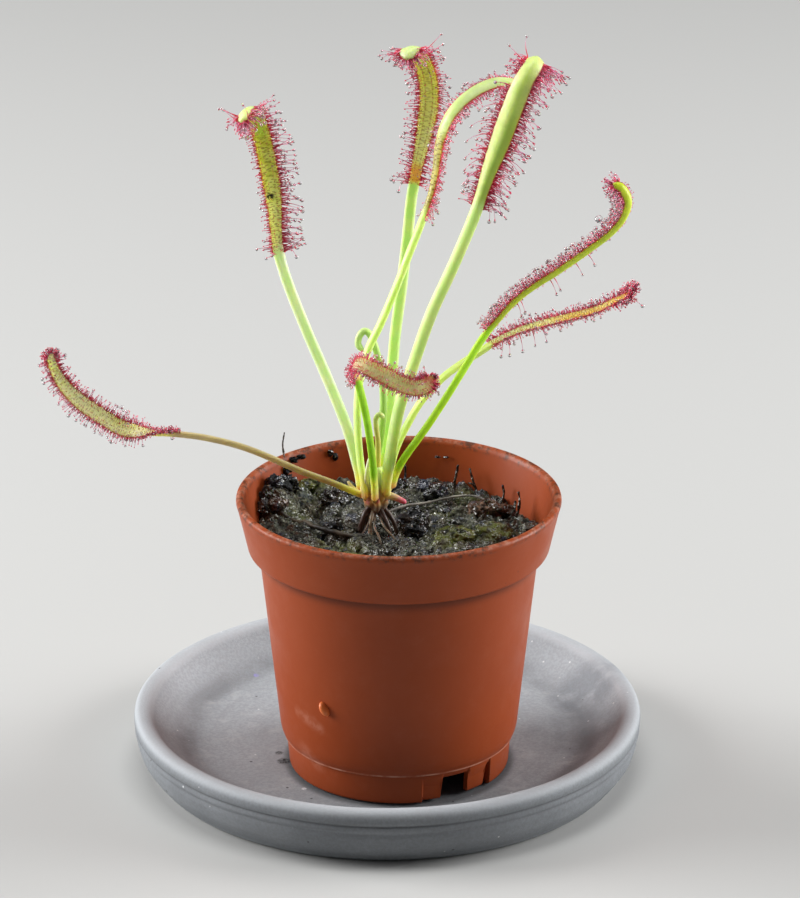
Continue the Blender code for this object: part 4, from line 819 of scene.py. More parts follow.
# For each leaf: width and thickness of stalk and blade, the share of its length where the blade
# starts, where its upper side faces there, how it turns from there on, and its keel. Then its
# colours, and its hairs: their length and share of drops at each margin and on the face, how they
# droop, how much longer they are at the blade's two ends, which share of a margin is bare, and
# their bunches (how many, how far along). A thread is one long hair: share of the blade, way,
# length, and at times the size of its drop.
LEAVES = {
    "leaf_1": dict(
        petiole=(1.9, 1.35), blade=(3.1, 0.8), start=0.60, face=(0.30, -1.0, 0.05), twist=-8.0,
        tip_twist=-27.0, keel=0.12,
        stalk=(0.68, 1.0, 0.50), back=(0.62, 0.92, 0.28), upper=(0.92, 1.0, 0.44),
        late=(0.62, 0.60, 0.09), dots=0.55, tip_tint=(0.52, 0.68, 0.05), speck=(-19.5, 4.7, 101.6, 0.9),
        fringe=(2.9, 1.15), dew=(0.8, 0.12), face_hair=0.45, face_dew=0.03, droop=0.15, base_long=1.25,
        tip_long=1.2, bunch=(120, 5.0),
        threads=((0.99, (-0.8, -0.2, 0.75), 3.2), (0.985, (-0.35, -0.1, 1.0), 2.6),
                 (0.96, (-0.95, 0.0, 0.55), 3.0), (0.95, (-0.9, 0.0, 0.35), 3.4),
                 (0.02, (-0.9, 0.0, -0.1), 2.6), (0.03, (0.7, 0.0, -0.7), 3.2),
                 (0.06, (0.85, 0.0, -0.5), 3.0)),
        path=((-4.2, -6.9, 53.2), (-4.9, -6.5, 57.4), (-6.7, -5.0, 63.8), (-9.9, -2.5, 71.5),
              (-13.4, 0.0, 79.2), (-16.6, 2.2, 87.0), (-18.2, 3.6, 92.2), (-18.7, 4.6, 96.6),
              (-18.9, 5.2, 100.0), (-19.6, 6.0, 105.0), (-20.6, 6.5, 110.2), (-21.7, 6.2, 114.6),
              (-22.8, 5.0, 116.7), (-23.6, 3.5, 116.7), (-24.0, 2.3, 115.6))),
    "leaf_2": dict(
        petiole=(1.9, 1.35), blade=(3.3, 0.8), start=0.64, face=(-0.12, -1.0, 0.0), twist=6.0,
        tip_twist=-38.0, keel=0.12,
        stalk=(0.60, 0.98, 0.32), back=(0.62, 0.92, 0.32), upper=(0.92, 0.94, 0.58),
        late=(0.72, 0.70, 0.16), dots=0.42, grooves=0.22, rust=0.8,
        fringe=(1.9, 2.0), dew=(0.30, 0.35), face_hair=0.45, face_dew=0.03, droop=0.1, base_long=1.3,
        tip_long=1.3, bunch=(100, 4.5),
        threads=((0.99, (-1.0, 0.0, 0.0), 3.4), (0.97, (-0.9, -0.1, -0.3), 3.0),
                 (0.985, (-0.95, 0.0, 0.25), 3.0), (0.94, (-0.7, -0.2, -0.7), 2.6),
                 (0.82, (0.7, 0.1, 0.75), 3.6), (0.78, (0.8, 0.1, 0.55), 2.8),
                 (0.04, (-0.85, 0.0, -0.5), 3.2), (0.01, (-0.6, 0.0, -0.8), 3.0)),
        path=((-0.65, -5.9, 54.2), (-0.5, -5.4, 57.6), (0.0, -4.0, 62.0), (0.7, -1.5, 69.3),
              (1.3, 1.0, 77.4), (2.4, 3.4, 85.5), (3.4, 5.6, 93.6), (4.1, 7.2, 100.2), (4.9, 8.2, 104.8),
              (5.7, 8.8, 108.5), (6.7, 9.2, 113.6), (7.1, 9.2, 117.5), (6.8, 8.8, 121.3),
              (5.7, 7.8, 124.8), (4.5, 6.0, 127.0), (3.7, 4.2, 127.3), (3.2, 2.9, 126.4))),
    "leaf_3": dict(
        petiole=(1.75, 1.3), blade=(3.0, 0.8), start=0.61, face=(1.0, 0.30, 0.0), twist=26.0, keel=0.12,
        stalk=(0.62, 0.86, 0.27), back=(0.52, 0.66, 0.26), upper=(0.44, 0.38, 0.09),
        late=(0.48, 0.44, 0.10), dots=0.85, dotted_back=0.42,
        fringe=(1.9, 1.6), dew=(0.55, 0.5), face_hair=0.9, face_dew=0.35, droop=0.35, base_long=1.2,
        tip_long=1.2,
        threads=((0.02, (0.4, 0.2, -0.9), 3.4), (0.05, (0.7, 0.2, -0.7), 2.8)),
        path=((-3.7, -10.3, 53.4), (-3.9, -9.9, 56.2), (-4.5, -9.4, 60.5), (-4.9, -9.0, 66.8),
              (-4.6, -8.7, 73.0), (-3.1, -8.4, 79.1), (-1.1, -8.0, 83.4), (1.4, -7.2, 89.3),
              (3.7, -6.2, 95.2), (5.8, -5.0, 100.5), (7.3, -4.0, 104.9), (8.1, -3.0, 109.0),
              (8.6, -2.2, 113.0), (9.8, -1.4, 116.8), (12.0, -0.4, 119.7), (15.1, 1.0, 121.7),
              (18.2, 2.4, 122.5), (20.8, 3.8, 122.0), (22.8, 5.3, 120.8))),
    "leaf_4": dict(
        petiole=(2.05, 1.4), blade=(3.6, 0.9), start=0.64, face=(0.40, 1.0, 0.0), twist=0.0, taper=0.25,
        keel=0.24,
        # The band colour is painted shade on one half of the keeled back.
        stalk=(0.66, 0.94, 0.34), back=(0.62, 0.80, 0.24), keel_shade=(0.40, 0.54, 0.04),
        upper=(0.50, 0.54, 0.12), late=(0.46, 0.50, 0.08),
        fringe=(2.3, 3.0), dew=(0.5, 0.5), face_hair=1.2, face_dew=0.4, droop=0.45, base_long=1.15,
        tip_long=1.3, dense=1.2, bare=(0.662, 0.715), bunch=(70, 3.0),
        threads=((0.80, (-0.75, 0.2, 0.8), 3.6), (0.86, (-0.05, 0.2, 1.0), 3.4),
                 (0.05, (0.3, 0.1, -1.0), 4.6), (0.07, (0.55, 0.1, -0.9), 4.2),
                 (0.03, (0.15, 0.1, -1.0), 3.8), (0.10, (0.7, 0.1, -0.7), 3.4),
                 (0.30, (-0.9, 0.1, -0.5), 4.2), (0.38, (-0.95, 0.1, -0.35), 4.4),
                 (0.46, (-0.95, 0.1, -0.3), 4.4), (0.24, (-0.85, 0.1, -0.6), 4.0),
                 (0.55, (-0.95, 0.1, -0.3), 4.0), (0.17, (-0.8, 0.1, -0.7), 3.8)),
        path=((-0.25, -10.4, 54.0), (0.0, -10.4, 57.0), (0.7, -10.6, 61.9), (2.0, -11.4, 69.6),
              (4.0, -12.6, 76.8), (7.2, -14.4, 87.4), (10.9, -16.0, 96.7), (14.3, -17.4, 105.9),
              (16.3, -18.2, 112.9), (18.2, -18.8, 118.6), (20.1, -19.2, 124.3), (21.9, -18.9, 129.0),
              (23.5, -17.5, 131.4), (24.2, -15.5, 131.9), (24.6, -13.5, 130.5), (24.7, -12.4, 128.8))),
    "leaf_5": dict(
        petiole=(1.5, 1.25), blade=(2.2, 0.75), start=0.49, face=(-0.5, 0.6, 0.6), twist=0.0, keel=0.14,
        stalk=(0.48, 0.78, 0.030), back=(0.48, 0.58, 0.030), upper=(0.32, 0.20, 0.06),
        late=(0.46, 0.46, 0.05),
        fringe=(1.75, 0.9), dew=(0.6, 0.1), face_hair=1.6, face_dew=0.45, droop=0.1, base_long=1.2,
        tip_long=1.4, dense=1.5, bunch=(60, 2.5),
        threads=((0.17, (0.30, -0.1, -0.95), 2.6), (0.19, (0.35, -0.1, -0.9), 2.4),
                 (0.36, (0.40, -0.1, -0.9), 2.8), (0.38, (0.45, -0.1, -0.85), 2.5),
                 (0.50, (0.50, -0.1, -0.85), 2.4), (0.57, (0.50, -0.1, -0.8), 2.2),
                 (0.70, (-0.45, -0.1, 0.9), 3.0, 1.9)),
        path=((0.8, -8.75, 54.8), (1.5, -9.35, 57.3), (3.0, -10.6, 60.8), (6.5, -11.6, 66.4),
              (9.9, -12.0, 72.1), (13.3, -12.4, 78.2), (16.0, -12.6, 83.0), (18.9, -12.6, 86.7),
              (21.5, -12.4, 89.5), (24.4, -12.2, 91.8), (27.5, -12.0, 93.8), (30.5, -11.6, 95.8),
              (33.6, -11.2, 98.0), (36.3, -10.8, 100.0), (38.4, -10.6, 102.2), (39.6, -10.4, 104.5),
              (39.7, -10.3, 106.5), (38.7, -10.2, 108.2), (37.4, -10.2, 108.9))),
    "leaf_6": dict(
        petiole=(1.4, 1.2), blade=(2.1, 0.75), start=0.54, face=(-0.25, -0.32, 0.92), twist=0.0,
        taper=0.35, keel=0.10,
        stalk=(0.60, 0.78, 0.22), back=(0.55, 0.42, 0.08), upper=(0.72, 0.92, 0.36),
        late=(0.86, 0.56, 0.12), dots=0.3,
        fringe=(1.3, 1.6), dew=(0.5, 0.5), face_hair=0.36, face_dew=0.03, droop=0.1, base_long=1.2,
        tip_long=1.35, dense=1.4, bunch=(230, 4.6), stout=1.45,
        threads=((0.10, (0.1, -0.2, -1.0), 2.8), (0.18, (0.2, -0.2, -1.0), 2.9),
                 (0.27, (0.2, -0.2, -1.0), 2.6), (0.34, (0.3, -0.2, -0.95), 2.4),
                 (0.06, (-0.1, -0.2, -1.0), 2.6), (0.97, (0.8, -0.2, -0.6), 2.6)),
        path=((0.55, -7.3, 54.8), (0.7, -7.2, 57.8), (1.7, -6.9, 61.3), (3.5, -6.2, 65.0),
              (5.7, -5.2, 68.6), (8.9, -4.0, 72.0), (11.9, -2.8, 74.1), (15.3, -1.4, 75.9),
              (18.5, 0.0, 77.5), (21.9, 1.4, 78.6), (25.3, 2.8, 79.2), (28.7, 4.0, 79.7),
              (32.1, 5.0, 80.2), (35.5, 5.8, 80.9), (38.5, 6.4, 82.2), (40.6, 6.5, 83.2),
              (41.6, 6.1, 84.3))),
    "leaf_7": dict(
        petiole=(1.5, 1.1), blade=(2.7, 0.8), start=0.56, face=(0.1, 0.6, 0.8), twist=-100.0, turns=0.35,
        widens=0.25, taper=0.42, keel=0.10,
        stalk=(0.53, 0.41, 0.24), back=(0.80, 0.74, 0.20), upper=(0.99, 0.95, 0.46),
        late=(1.0, 0.99, 0.62), dots=0.36, red_tip=0.97, speck=(-42.1, -14.7, 68.0, 0.5),
        fringe=(1.5, 1.5), dew=(0.2, 0.3), face_hair=0.4, face_dew=0.03, droop=0.0, base_long=1.5,
        tip_long=1.0, dense=1.3, bunch=(130, 1.8), foot_bunch=(130, 6.0), stout=1.3,
        path=((-4.15, -8.6, 53.1), (-6.2, -9.3, 54.3), (-9.6, -10.3, 56.2), (-14.6, -11.2, 58.6),
              (-21.2, -12.2, 62.1), (-25.3, -12.8, 63.9), (-30.2, -13.4, 65.4), (-33.8, -13.8, 66.1),
              (-36.5, -14.0, 66.4), (-38.7, -14.2, 66.5), (-41.8, -14.4, 66.8), (-44.3, -14.4, 67.6),
              (-46.7, -14.2, 69.0), (-49.1, -13.8, 70.5), (-51.3, -13.2, 72.0), (-53.3, -12.6, 73.9),
              (-54.9, -12.0, 76.2), (-55.8, -12.0, 78.6), (-55.9, -12.6, 80.2))),
    "leaf_8": dict(
        petiole=(1.5, 1.2), blade=(2.7, 0.8), start=0.61, face=(-0.92, 0.35, 0.17), twist=0.0, keel=0.10,
        stalk=(0.28, 0.52, 0.033), back=(0.60, 0.34, 0.12), upper=(0.34, 0.20, 0.13),
        late=(0.80, 0.80, 0.44), shine=0.12, matt=0.30, dots=0.22,
        fringe=(1.1, 1.1), dew=(0.35, 0.2), face_hair=0.95, face_dew=0.10, droop=0.0, base_long=1.2,
        tip_long=1.1, dense=1.3, bunch=(120, 2.6), foot_bunch=(190, 6.0), stout=1.15,
        path=((-1.95, -11.1, 53.6), (-2.1, -11.7, 56.3), (-2.4, -13.6, 61.1), (-2.9, -17.0, 67.1),
              (-3.5, -20.8, 72.7), (-4.3, -25.0, 78.2), (-5.0, -28.6, 82.4), (-5.2, -31.0, 84.7),
              (-4.5, -33.0, 85.9), (-3.0, -34.4, 85.9), (-0.2, -35.6, 84.9), (2.5, -36.2, 83.7),
              (4.6, -36.2, 83.1), (6.2, -35.6, 83.3), (7.4, -34.7, 84.2))),
}


def ramp(x):
    """0 below 0, 1 above 1, and 3 x^2 - 2 x^3 between."""
    x = np.clip(x, 0.0, 1.0)
    return x * x * (3 - 2 * x)


def turn_about(vectors, axes, degrees):
    """v cos q + (axis x v) sin q for vectors that are square to their axes."""
    angle = np.radians(degrees)[:, None]
    return vectors * np.cos(angle) + np.cross(axes, vectors) * np.sin(angle)


def leaf_frame(shape):
    """The leaf's centre line, the distance along it, the way its upper side faces, the way across,
    its width and thickness, how far it has flattened into a blade, and where the blade starts."""
    path = smooth_path(shape["path"], 7)
    along = np.concatenate([[0.0], np.cumsum(np.linalg.norm(np.diff(path, axis=0), axis=1))])
    length = along[-1]
    start = shape["start"] * length
    forward = tangents(path)
    faces = carried_faces(path, int(np.argmin(np.abs(along - start))), shape["face"])
    blade = (along - start) / (length - start)
    faces = turn_about(faces, forward, shape["twist"] * ramp(blade / shape.get("turns", 1.0))
                       + shape.get("tip_twist", 0.0) * ramp((blade - 0.80) / 0.18))
    (base_width, base_thickness), (blade_width, blade_thickness) = STALK_BASE, shape["blade"]
    stalk_width, stalk_thickness = shape["petiole"]
    base = np.clip(along / 5.0, 0.0, 1.0)
    swell = ramp(blade / shape.get("widens", 0.45))
    flat = ramp((along - start + 3.0) / 8.0)
    width = base_width + (stalk_width - base_width) * base + (blade_width - stalk_width) * swell
    thickness = (base_thickness + (stalk_thickness - base_thickness) * base
                 + (blade_thickness - stalk_thickness) * flat)
    width = width * (1 - shape.get("taper", 0.0) * ramp((blade - 0.55) / 0.45))
    to_tip = np.clip((length - along) / 1.8, 0.0, 1.0)
    width = width * (0.42 + 0.58 * np.sqrt(1 - (1 - to_tip) ** 2))
    return dict(path=path, along=along, forward=forward, faces=faces, across=np.cross(forward, faces),
                width=width, thickness=thickness, flat=flat, start=start, length=length)


def leaf_body(line, keel):
    """Skin of a leaf. A ring's point at angle q is p + across cos q w/2 + face lift, where
    lift = sin q t/2 + 0.22 flat cos^2 q, less a channel on the stalk's upper side and a keel on the
    blade's back, both exp(-(cos q / 0.52)^2) wide."""
    turn = around(LEAF_COLUMNS)[None]
    flat, ridge = line["flat"][:, None], np.exp(-(np.cos(turn) / 0.52) ** 2)
    flare = 1 + 0.45 * np.exp(-line["along"] / 1.5)[:, None]
    side = np.cos(turn) * line["width"][:, None] / 2 * flare
    lift = np.sin(turn) * line["thickness"][:, None] / 2 + BLADE_CUP * flat * np.cos(turn) ** 2
    depth = np.where(np.sin(turn) > 0, 0.16 * (1 - 0.6 * flat), keel * (0.25 + 0.75 * flat))
    lift = lift - ridge * np.abs(np.sin(turn)) * depth
    rings = (line["path"][:, None] + line["across"][:, None] * side[..., None]
             + line["faces"][:, None] * lift[..., None])
    tip, forward = line["path"][-1], line["forward"][-1]
    rings = np.concatenate([rings, (tip + forward * 0.22 + (rings[-1] - tip) * 0.62)[None]])
    points, faces = lofted(rings, line["path"][0] - line["forward"][0] * 0.8, tip + forward * 0.35)
    along = np.append(line["along"], line["length"] + 0.22)[:, None]
    half = np.append(line["width"], line["width"][-1])[:, None] / 2
    along, side, edge, half = (np.append(values.ravel(), (values[0, 0], values[-1, 0])) for values in (
        along + 0 * turn, np.sin(turn) + 0 * along, np.cos(turn) + 0 * along, half + 0 * turn))
    blade = (along - line["start"]) / (line["length"] - line["start"])
    return points, faces, dict(along=along, blade=blade, side=side, edge=edge,
                               spot_place=np.stack([edge * half, along, side * 0.3], -1))


def brighter(colour, times, plus):
    return tuple(min(1.0, c * times + plus) for c in colour)


def leaf_finish(name, shape):
    """Living leaf: a flushed foot, the stalk's green, then on the blade the smooth back and the
    dotted upper face, with a red margin and a redder tip."""
    leaf = translucent(Finish(name + "_tissue", 0.38, shape.get("shine", 0.45)), 0.85, 2.2, (0.9, 1.0, 0.4))
    along, blade, side, edge = (leaf.spread(key) for key in ("along", "blade", "side", "edge"))
    across = leaf.calculated("ABSOLUTE", edge)
    mottle = leaf.cloud(2.4, 4.0)
    foot = leaf.mixed(leaf.eased(along, 0.0, 1.8), (0.90, 0.46, 0.16), (0.92, 0.84, 0.22))
    leaf.ground(leaf.eased(along, 1.8, 6.0), foot, shape["stalk"])
    leaf.coat(brighter(shape["stalk"], 1.18, 0.03), leaf.eased(mottle, 0.4, 0.7, 0.0, 0.6))

    back = leaf.mixed(leaf.eased(mottle, 0.35, 0.7), shape["back"],
                      tuple(c * 1.15 + 0.02 for c in shape["back"]))
    # Painted shade: one half of the keeled back is darker along the blade's middle.
    if "keel_shade" in shape:
        keel_shaded = leaf.product(leaf.eased(edge, 0.0, -0.42, 0.0, 0.75), leaf.eased(blade, 0.66, 0.40))
        back = leaf.mixed(keel_shaded, back, shape["keel_shade"])

    upper = leaf.mixed(leaf.eased(blade, 0.05, 0.7), shape["upper"], shape["late"])
    upper = leaf.mixed(leaf.eased(mottle, 0.42, 0.7, 0.0, 0.4), upper, brighter(shape["upper"], 1.5, 0.03))
    stretched = leaf.put("VectorMath", {0: leaf.spread("spot_place", "Vector"), 1: (0.45, 1.25, 1.0)},
                         operation="MULTIPLY").outputs[0]
    cells = leaf.put("TexVoronoi", {"Vector": stretched, "Scale": 2.3}, voronoi_dimensions="2D")
    dots = leaf.eased(cells.outputs["Distance"], 0.36, 0.20, 0.0, shape.get("dots", 0.62))
    upper = leaf.mixed(dots, upper, (0.22, 0.125, 0.012))
    if "grooves" in shape:
        off_groove = leaf.calculated("ABSOLUTE", leaf.calculated("SUBTRACT", across, 0.36))
        groove = leaf.eased(off_groove, 0.13, 0.03, 0.0, shape["grooves"])
        upper = leaf.mixed(groove, upper, (0.30, 0.19, 0.02))
    if "tip_tint" in shape:
        near_tip = leaf.product(leaf.eased(blade, 0.64, 0.72, 0.0, 0.75), leaf.eased(blade, 0.83, 0.75),
                                leaf.eased(across, 0.80, 0.40))
        upper = leaf.mixed(near_tip, upper, shape["tip_tint"])

    facing = leaf.eased(side, -0.10, 0.12)
    if "dotted_back" in shape:
        low_part = leaf.eased(blade, shape["dotted_back"] + 0.06, shape["dotted_back"] - 0.06)
        facing = leaf.calculated("MAXIMUM", facing, low_part)
    on_blade = leaf.eased(blade, -0.02, 0.05)
    leaf.coat(leaf.mixed(facing, back, upper), on_blade)
    if "rust" in shape:
        leaf.coat((0.98, 0.46, 0.04), leaf.eased(blade, -0.03, 0.01, 0.0, shape["rust"]),
                  leaf.eased(blade, 0.13, 0.06))
    if "speck" in shape:
        *spot, size = shape["speck"]
        leaf.coat((0.012, 0.012, 0.010), leaf.near(spot, size, size * 0.55), leaf.patchy(0.5, 0.40, 0.50))
    red_tip = shape.get("red_tip", 0.90)
    rim = leaf.calculated("MAXIMUM", leaf.eased(across, 0.74, 0.96),
                          leaf.eased(blade, red_tip, red_tip + 0.06, 0.0, 0.9))
    leaf.coat((0.52, 0.035, 0.045), rim, leaf.eased(blade, -0.01, 0.06), leaf.eased(side, -0.55, -0.25),
              leaf.patchy(0.8, 0.3, 0.6, 0.35, 0.9))
    matt = shape.get("matt", 0.0)
    leaf.drive("Roughness", leaf.eased(mottle, 0.3, 0.7, 0.30 + matt, 0.48 + matt))
    pits = leaf.product(facing, on_blade, dots)
    leaf.relief(leaf.calculated("SUBTRACT", leaf.cloud(0.6), pits), 0.10, 0.45)
    return leaf


leaf_lines = {name: leaf_frame(shape) for name, shape in LEAVES.items()}
for name, shape in LEAVES.items():
    points, faces, spreads = leaf_body(leaf_lines[name], shape["keel"])
    piece = add_piece(name + "_blade", points, faces, leaf_finish(name, shape), "leaf", **spreads)
    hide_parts(name)

# Young leaves, stub and bud
# Two young leaves are still rolled up at the tip, a cut stub and a dry scale stand at the crown,
# and a pale bud rises between the stalks. All are soft tissue of the crown's own growth.
ROLL_SIDES = 14
YOUNG_LEAVES = {                # radius at the base and at the tip, colours, points
    "young_leaf_1": (0.64, 0.56, (0.46, 0.68, 0.18), (0.60, 0.76, 0.30), (
        (-2.4, -5.7, 54.2), (-2.0, -6.0, 57.4), (-1.2, -6.3, 62.0), (-0.6, -6.3, 68.3),
        (-0.9, -6.2, 73.9), (-1.7, -6.1, 77.9), (-2.6, -6.0, 80.6), (-3.6, -6.0, 81.6),
        (-4.5, -6.1, 80.9), (-4.8, -6.3, 79.4), (-4.0, -6.5, 78.3))),
    "young_leaf_2": (0.50, 0.42, (0.66, 0.56, 0.16), (0.64, 0.76, 0.30), (
        (-1.7, -8.25, 56.15), (-1.5, -8.4, 59.2), (-1.5, -8.4, 62.7), (-1.8, -8.4, 65.4),
        (-1.8, -8.6, 67.0), (-1.2, -8.9, 67.8), (-0.5, -9.1, 67.3))),
    "stub_leaf": (0.74, 0.40, (0.84, 0.76, 0.44), (0.80, 0.14, 0.24), (
        (-0.2, -8.8, 53.1), (0.9, -9.0, 53.0), (2.1, -9.1, 52.5), (3.2, -9.1, 51.9))),
    "pale_bud": (0.52, 0.24, (0.74, 0.78, 0.44), (0.86, 0.84, 0.62), (
        (-3.0, -9.8, 54.6), (-3.4, -10.5, 56.4), (-3.3, -10.8, 58.6), (-2.9, -10.8, 60.8))),
    "dry_scale": (0.55, 0.22, (0.62, 0.50, 0.24), (0.52, 0.40, 0.20), (
        (-3.4, -9.0, 52.8), (-4.7, -8.3, 53.3), (-5.9, -7.6, 54.2), (-6.6, -7.2, 55.0))),
}

for name, (base, tip, low, high, line) in YOUNG_LEAVES.items():
    path = smooth_path(line, 8)
    share = np.linspace(0.0, 1.0, len(path))
    rounded = np.where(share > 0.94, np.sqrt(np.clip((1.02 - share) / 0.08, 0.05, 1)), 1.0)
    points, faces = strand(path, (base + (tip - base) * share) * rounded, ROLL_SIDES)
    share = np.append(np.repeat(share, ROLL_SIDES), (0.0, 1.0))
    soft = translucent(Finish(name + "_tissue", 0.40, 0.45), 0.5, 1.2, (0.9, 1.0, 0.4))
    soft.ground(soft.eased(soft.spread("share"), 0.25, 0.85), low, high)
    soft.coat(tuple(c * 0.72 for c in low), soft.patchy(1.4, 0.42, 0.7, 0.0, 0.35))
    soft.relief(soft.cloud(0.5), 0.08, 0.4)
    piece = add_piece(name + "_roll", points, faces, soft, "young_leaf", share=share)
    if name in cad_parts:
        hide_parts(name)

# Tentacles and dew
# Every blade carries some hundreds of stalked glands, crimson, longest at its edges, its foot and
# its tip. Most outer ones hold a drop of clear glue that catches insects and the light.
STALK_ROWS = ((0.0, 0.115), (0.30, 0.075), (0.62, 0.045), (0.87, 0.040), (0.92, 0.105), (0.985, 0.075))
STALK_SIDES = 4
DROP_COLUMNS, DROP_ROWS = 8, 5
EDGE_SPACING = 0.40
FACE_SPACING = 0.50
MARGIN_ROWS = (                 # across, spacing, share of the fringe's length, lowest and highest slant
    (1.0, EDGE_SPACING, 1.0, -0.25, 0.45), (1.0, EDGE_SPACING * 0.75, 0.36, -0.2, 0.5),
    (0.90, EDGE_SPACING, 0.55, 0.30, 0.85), (0.66, FACE_SPACING, 0.0, 0.8, 1.4),
    (0.33, FACE_SPACING * 1.1, 0.0, 1.1, 1.7),
)


def copied(template, count, each):
    """The faces of count copies of a template, whose points follow one another, each to a copy."""
    offsets = (np.arange(count) * each)[:, None, None]
    faces = []
    for corners in (4, 3):
        some = np.array([face for face in template if len(face) == corners])
        faces += (offsets + some).reshape(-1, corners).tolist()
    return faces


def tentacles(roots, heads, bows, stout):
    """Stalks in arrays. The centre line is root + (head - root) t + 4 bow t (1 - t), and its radius
    follows STALK_ROWS times stout: a wide foot, a thin stalk and a round head."""
    t, radius = np.array(STALK_ROWS).T
    reach = heads - roots
    centre = roots[:, None] + reach[:, None] * t[:, None] + 4 * bows[:, None] * (t * (1 - t))[:, None]
    along = unit(reach[:, None] + 4 * bows[:, None] * (1 - 2 * t)[:, None])
    side = unit(np.cross(along, (0.31, 0.52, 0.80)))
    across = np.cross(along, side)
    turn = np.arange(STALK_SIDES)[:, None] * 2 * math.pi / STALK_SIDES
    ring = side[:, :, None] * np.cos(turn) + across[:, :, None] * np.sin(turn)
    rings = centre[:, :, None] + ring * (radius[:, None, None] * stout[:, None, None, None])
    points = np.concatenate([rings.reshape(len(roots), -1, 3), heads[:, None]], axis=1)
    _, template = lofted(rings[0], None, heads[0])
    share = np.tile(np.append(np.repeat(t, STALK_SIDES), 1.0), len(roots))
    return points.reshape(-1, 3), copied(template, len(roots), points.shape[1]), share


def drops(centres, radii, seed):
    """Balls of dew in arrays, each a little longer than wide, on an axis of its own."""
    shape, template = unit_ball(np.cos(np.linspace(0.0, math.pi, DROP_ROWS + 2)[1:-1]), DROP_COLUMNS)
    rng = np.random.default_rng(seed)
    stretch = rng.uniform(0.92, 1.18, (len(centres), 1, 1))
    axis = unit(rng.normal(size=(len(centres), 1, 3)))
    lean = (shape[None] * axis).sum(-1, keepdims=True) * axis
    points = centres[:, None] + (shape[None] + lean * (stretch - 1)) * radii[:, None, None]
    return points.reshape(-1, 3), copied(template, len(centres), len(shape))


def sampled(line, key, s):
    values = line[key]
    if values.ndim == 1:
        return np.interp(s, line["along"], values)
    return np.stack([np.interp(s, line["along"], values[:, k]) for k in range(3)], -1)


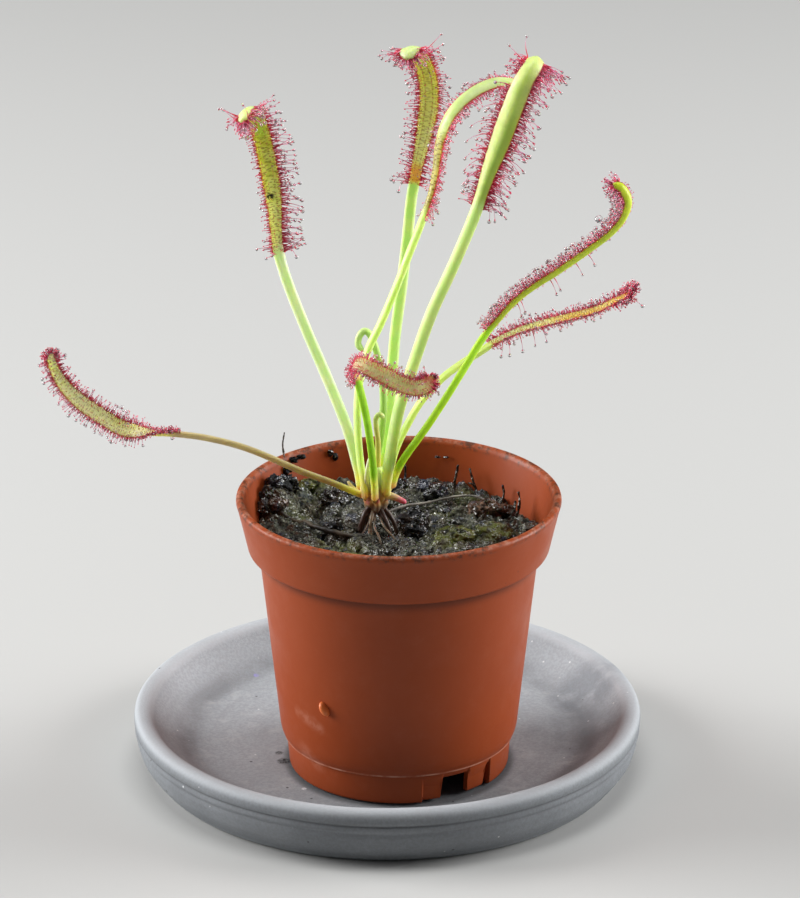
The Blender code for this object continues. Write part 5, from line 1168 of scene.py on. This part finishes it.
def tentacle_rows(line, shape, rng):
    """Feet, heads, bows and stoutness of a blade's tentacles, and how large a drop each has, or 0.
    Rows run along both margins, beside them and over the face, and bunches stand round the tip and,
    on some leaves, at the blade's foot."""
    start, length = line["start"], line["length"]
    made = []

    def add(s, across_share, outwards, lift, long, dew, thick):
        count = len(s)
        middle, out = sampled(line, "path", s), unit(sampled(line, "across", s))
        up, ahead = unit(sampled(line, "faces", s)), unit(sampled(line, "forward", s))
        half, thickness = sampled(line, "width", s) / 2, sampled(line, "thickness", s) / 2
        cup = BLADE_CUP * sampled(line, "flat", s)
        rise = thickness * math.sqrt(max(1 - across_share ** 2, 0.0)) * 0.85 + cup * across_share ** 2
        foot = middle + out * (half * across_share)[:, None] * 0.97 + up * rise[:, None]
        way = unit(out * (outwards * np.cos(lift))[:, None] + up * np.sin(lift)[:, None]
                   + ahead * rng.normal(0.0, 0.22, count)[:, None])
        head = foot + way * long[:, None]
        curl = up * rng.uniform(-0.10, 0.22, count)[:, None] + out * rng.normal(0, 0.06, count)[:, None]
        bow = curl * long[:, None] * 0.5
        head[:, 2] -= shape["droop"] * long * 0.35
        bow[:, 2] += shape["droop"] * long * 0.22
        made.append((foot - way * 0.12, head, bow, thick * rng.uniform(0.85, 1.2, count),
                     1.0 * (rng.uniform(0, 1, count) < dew)))

    for side, fringe, dew in zip((1.0, -1.0), shape["fringe"], shape["dew"]):
        for across_share, spacing, share, low, high in MARGIN_ROWS:
            s = np.arange(start - 0.6 * across_share, length - 0.3, spacing / shape.get("dense", 1.0))
            s = s + rng.uniform(-0.5, 0.5, len(s)) * spacing
            if "bare" in shape and side > 0:
                blade = (s - start) / (length - start)
                s = s[(blade < shape["bare"][0]) | (blade > shape["bare"][1])]
            near_foot = np.exp(-np.maximum(s - start, 0.0) / 3.5)
            near_tip = np.exp(-(length - s) / 2.5)
            if share:
                long = fringe * share * rng.uniform(0.62, 1.25, len(s))
                long = long * (1 + (shape["base_long"] - 1) * near_foot + (shape["tip_long"] - 1) * near_tip)
                chance, thick = dew * (1.0 if across_share == 1.0 else 0.7), 1.0
            else:
                long = shape["face_hair"] * rng.uniform(0.7, 1.3, len(s))
                chance, thick = shape["face_dew"], 0.7
            add(s, across_share * side, side, rng.uniform(low, high, len(s)), long, chance, thick)
    for share, way, long, *drop in shape.get("threads", ()):
        s = np.array([start + share * (length - start)])
        way = unit(np.array([way]))
        out = unit(sampled(line, "across", s))
        out = out * np.sign((out * way).sum())
        foot = sampled(line, "path", s) + out * sampled(line, "width", s)[:, None] / 2
        made.append((foot, foot + way * long, (out * 0.10 + (0.0, 0.0, 0.06)) * long, np.array([1.0]),
                     np.array(drop or [1.0])))
    for (fan, reach), end, onward in ((shape.get("bunch", (22, 1.8)), length, 1.0),
                                      (shape.get("foot_bunch", (0, 1.0)), start, -1.0)):
        spread = rng.uniform(-1.0, 1.0, fan)
        s = end - onward * rng.uniform(0.0, reach, fan) * np.abs(spread)
        out, ahead = unit(sampled(line, "across", s)), unit(sampled(line, "forward", s)) * onward
        way = unit(ahead * np.cos(spread * 1.4)[:, None] + out * np.sin(spread * 1.4)[:, None]
                   + unit(sampled(line, "faces", s)) * rng.uniform(-0.2, 1.1, fan)[:, None])
        long = max(shape["fringe"]) * shape["tip_long"] * rng.uniform(0.22, 0.95, fan)
        aside = (spread * sampled(line, "width", s) * 0.48)[:, None]
        foot = sampled(line, "path", s) + out * aside + ahead * 0.12
        made.append((foot, foot + way * long[:, None], rng.normal(0, 0.06, (fan, 3)) * long[:, None],
                     rng.uniform(0.9, 1.25, fan) * shape.get("stout", 1.0),
                     1.0 * (rng.uniform(0, 1, fan) < 0.3)))
    return [np.concatenate(values) for values in zip(*made)]


gland = translucent(Finish("tentacle_gland", 0.32, 0.5), 0.7, 0.5, (1.0, 0.25, 0.4))
how_far, how_long = gland.spread("share"), gland.spread("long")
gland.ground(gland.eased(how_far, 0.0, 0.25), (0.66, 0.060, 0.070), (0.64, 0.045, 0.105))
gland.coat((0.66, 0.28, 0.37), gland.eased(how_long, 0.7, 2.0), gland.eased(how_far, 0.25, 0.62))
gland.coat((0.60, 0.035, 0.095), gland.eased(how_far, 0.86, 0.92))
gland.coat((0.26, 0.12, 0.025), gland.eased(how_long, 0.62, 0.45, 0.0, 0.9))

glue = Finish("dew", 0.02, 0.5)
glue.shader.inputs["Base Color"].default_value = (1.0, 0.975, 0.985, 1.0)
glue.shader.inputs["Transmission Weight"].default_value = 0.82
glue.shader.inputs["IOR"].default_value = 1.36

for number, (name, shape) in enumerate(LEAVES.items()):
    rng = np.random.default_rng(100 + number)
    feet, ends, bows, stout, wet = tentacle_rows(leaf_lines[name], shape, rng)
    points, faces, share = tentacles(feet, ends, bows, stout)
    span = np.linalg.norm(ends - feet, axis=1)
    long = np.repeat(span, len(points) // len(feet))
    add_piece(name + "_tentacles", points, faces, gland, "tentacle", share=share, long=long)
    held = wet > 0
    size = rng.uniform(0.18, 0.29, held.sum()) * np.clip(span[held] / 1.6, 0.75, 1.2)
    add_piece(name + "_dew", *drops(ends[held], size * wet[held], 200 + number), glue, "dew")
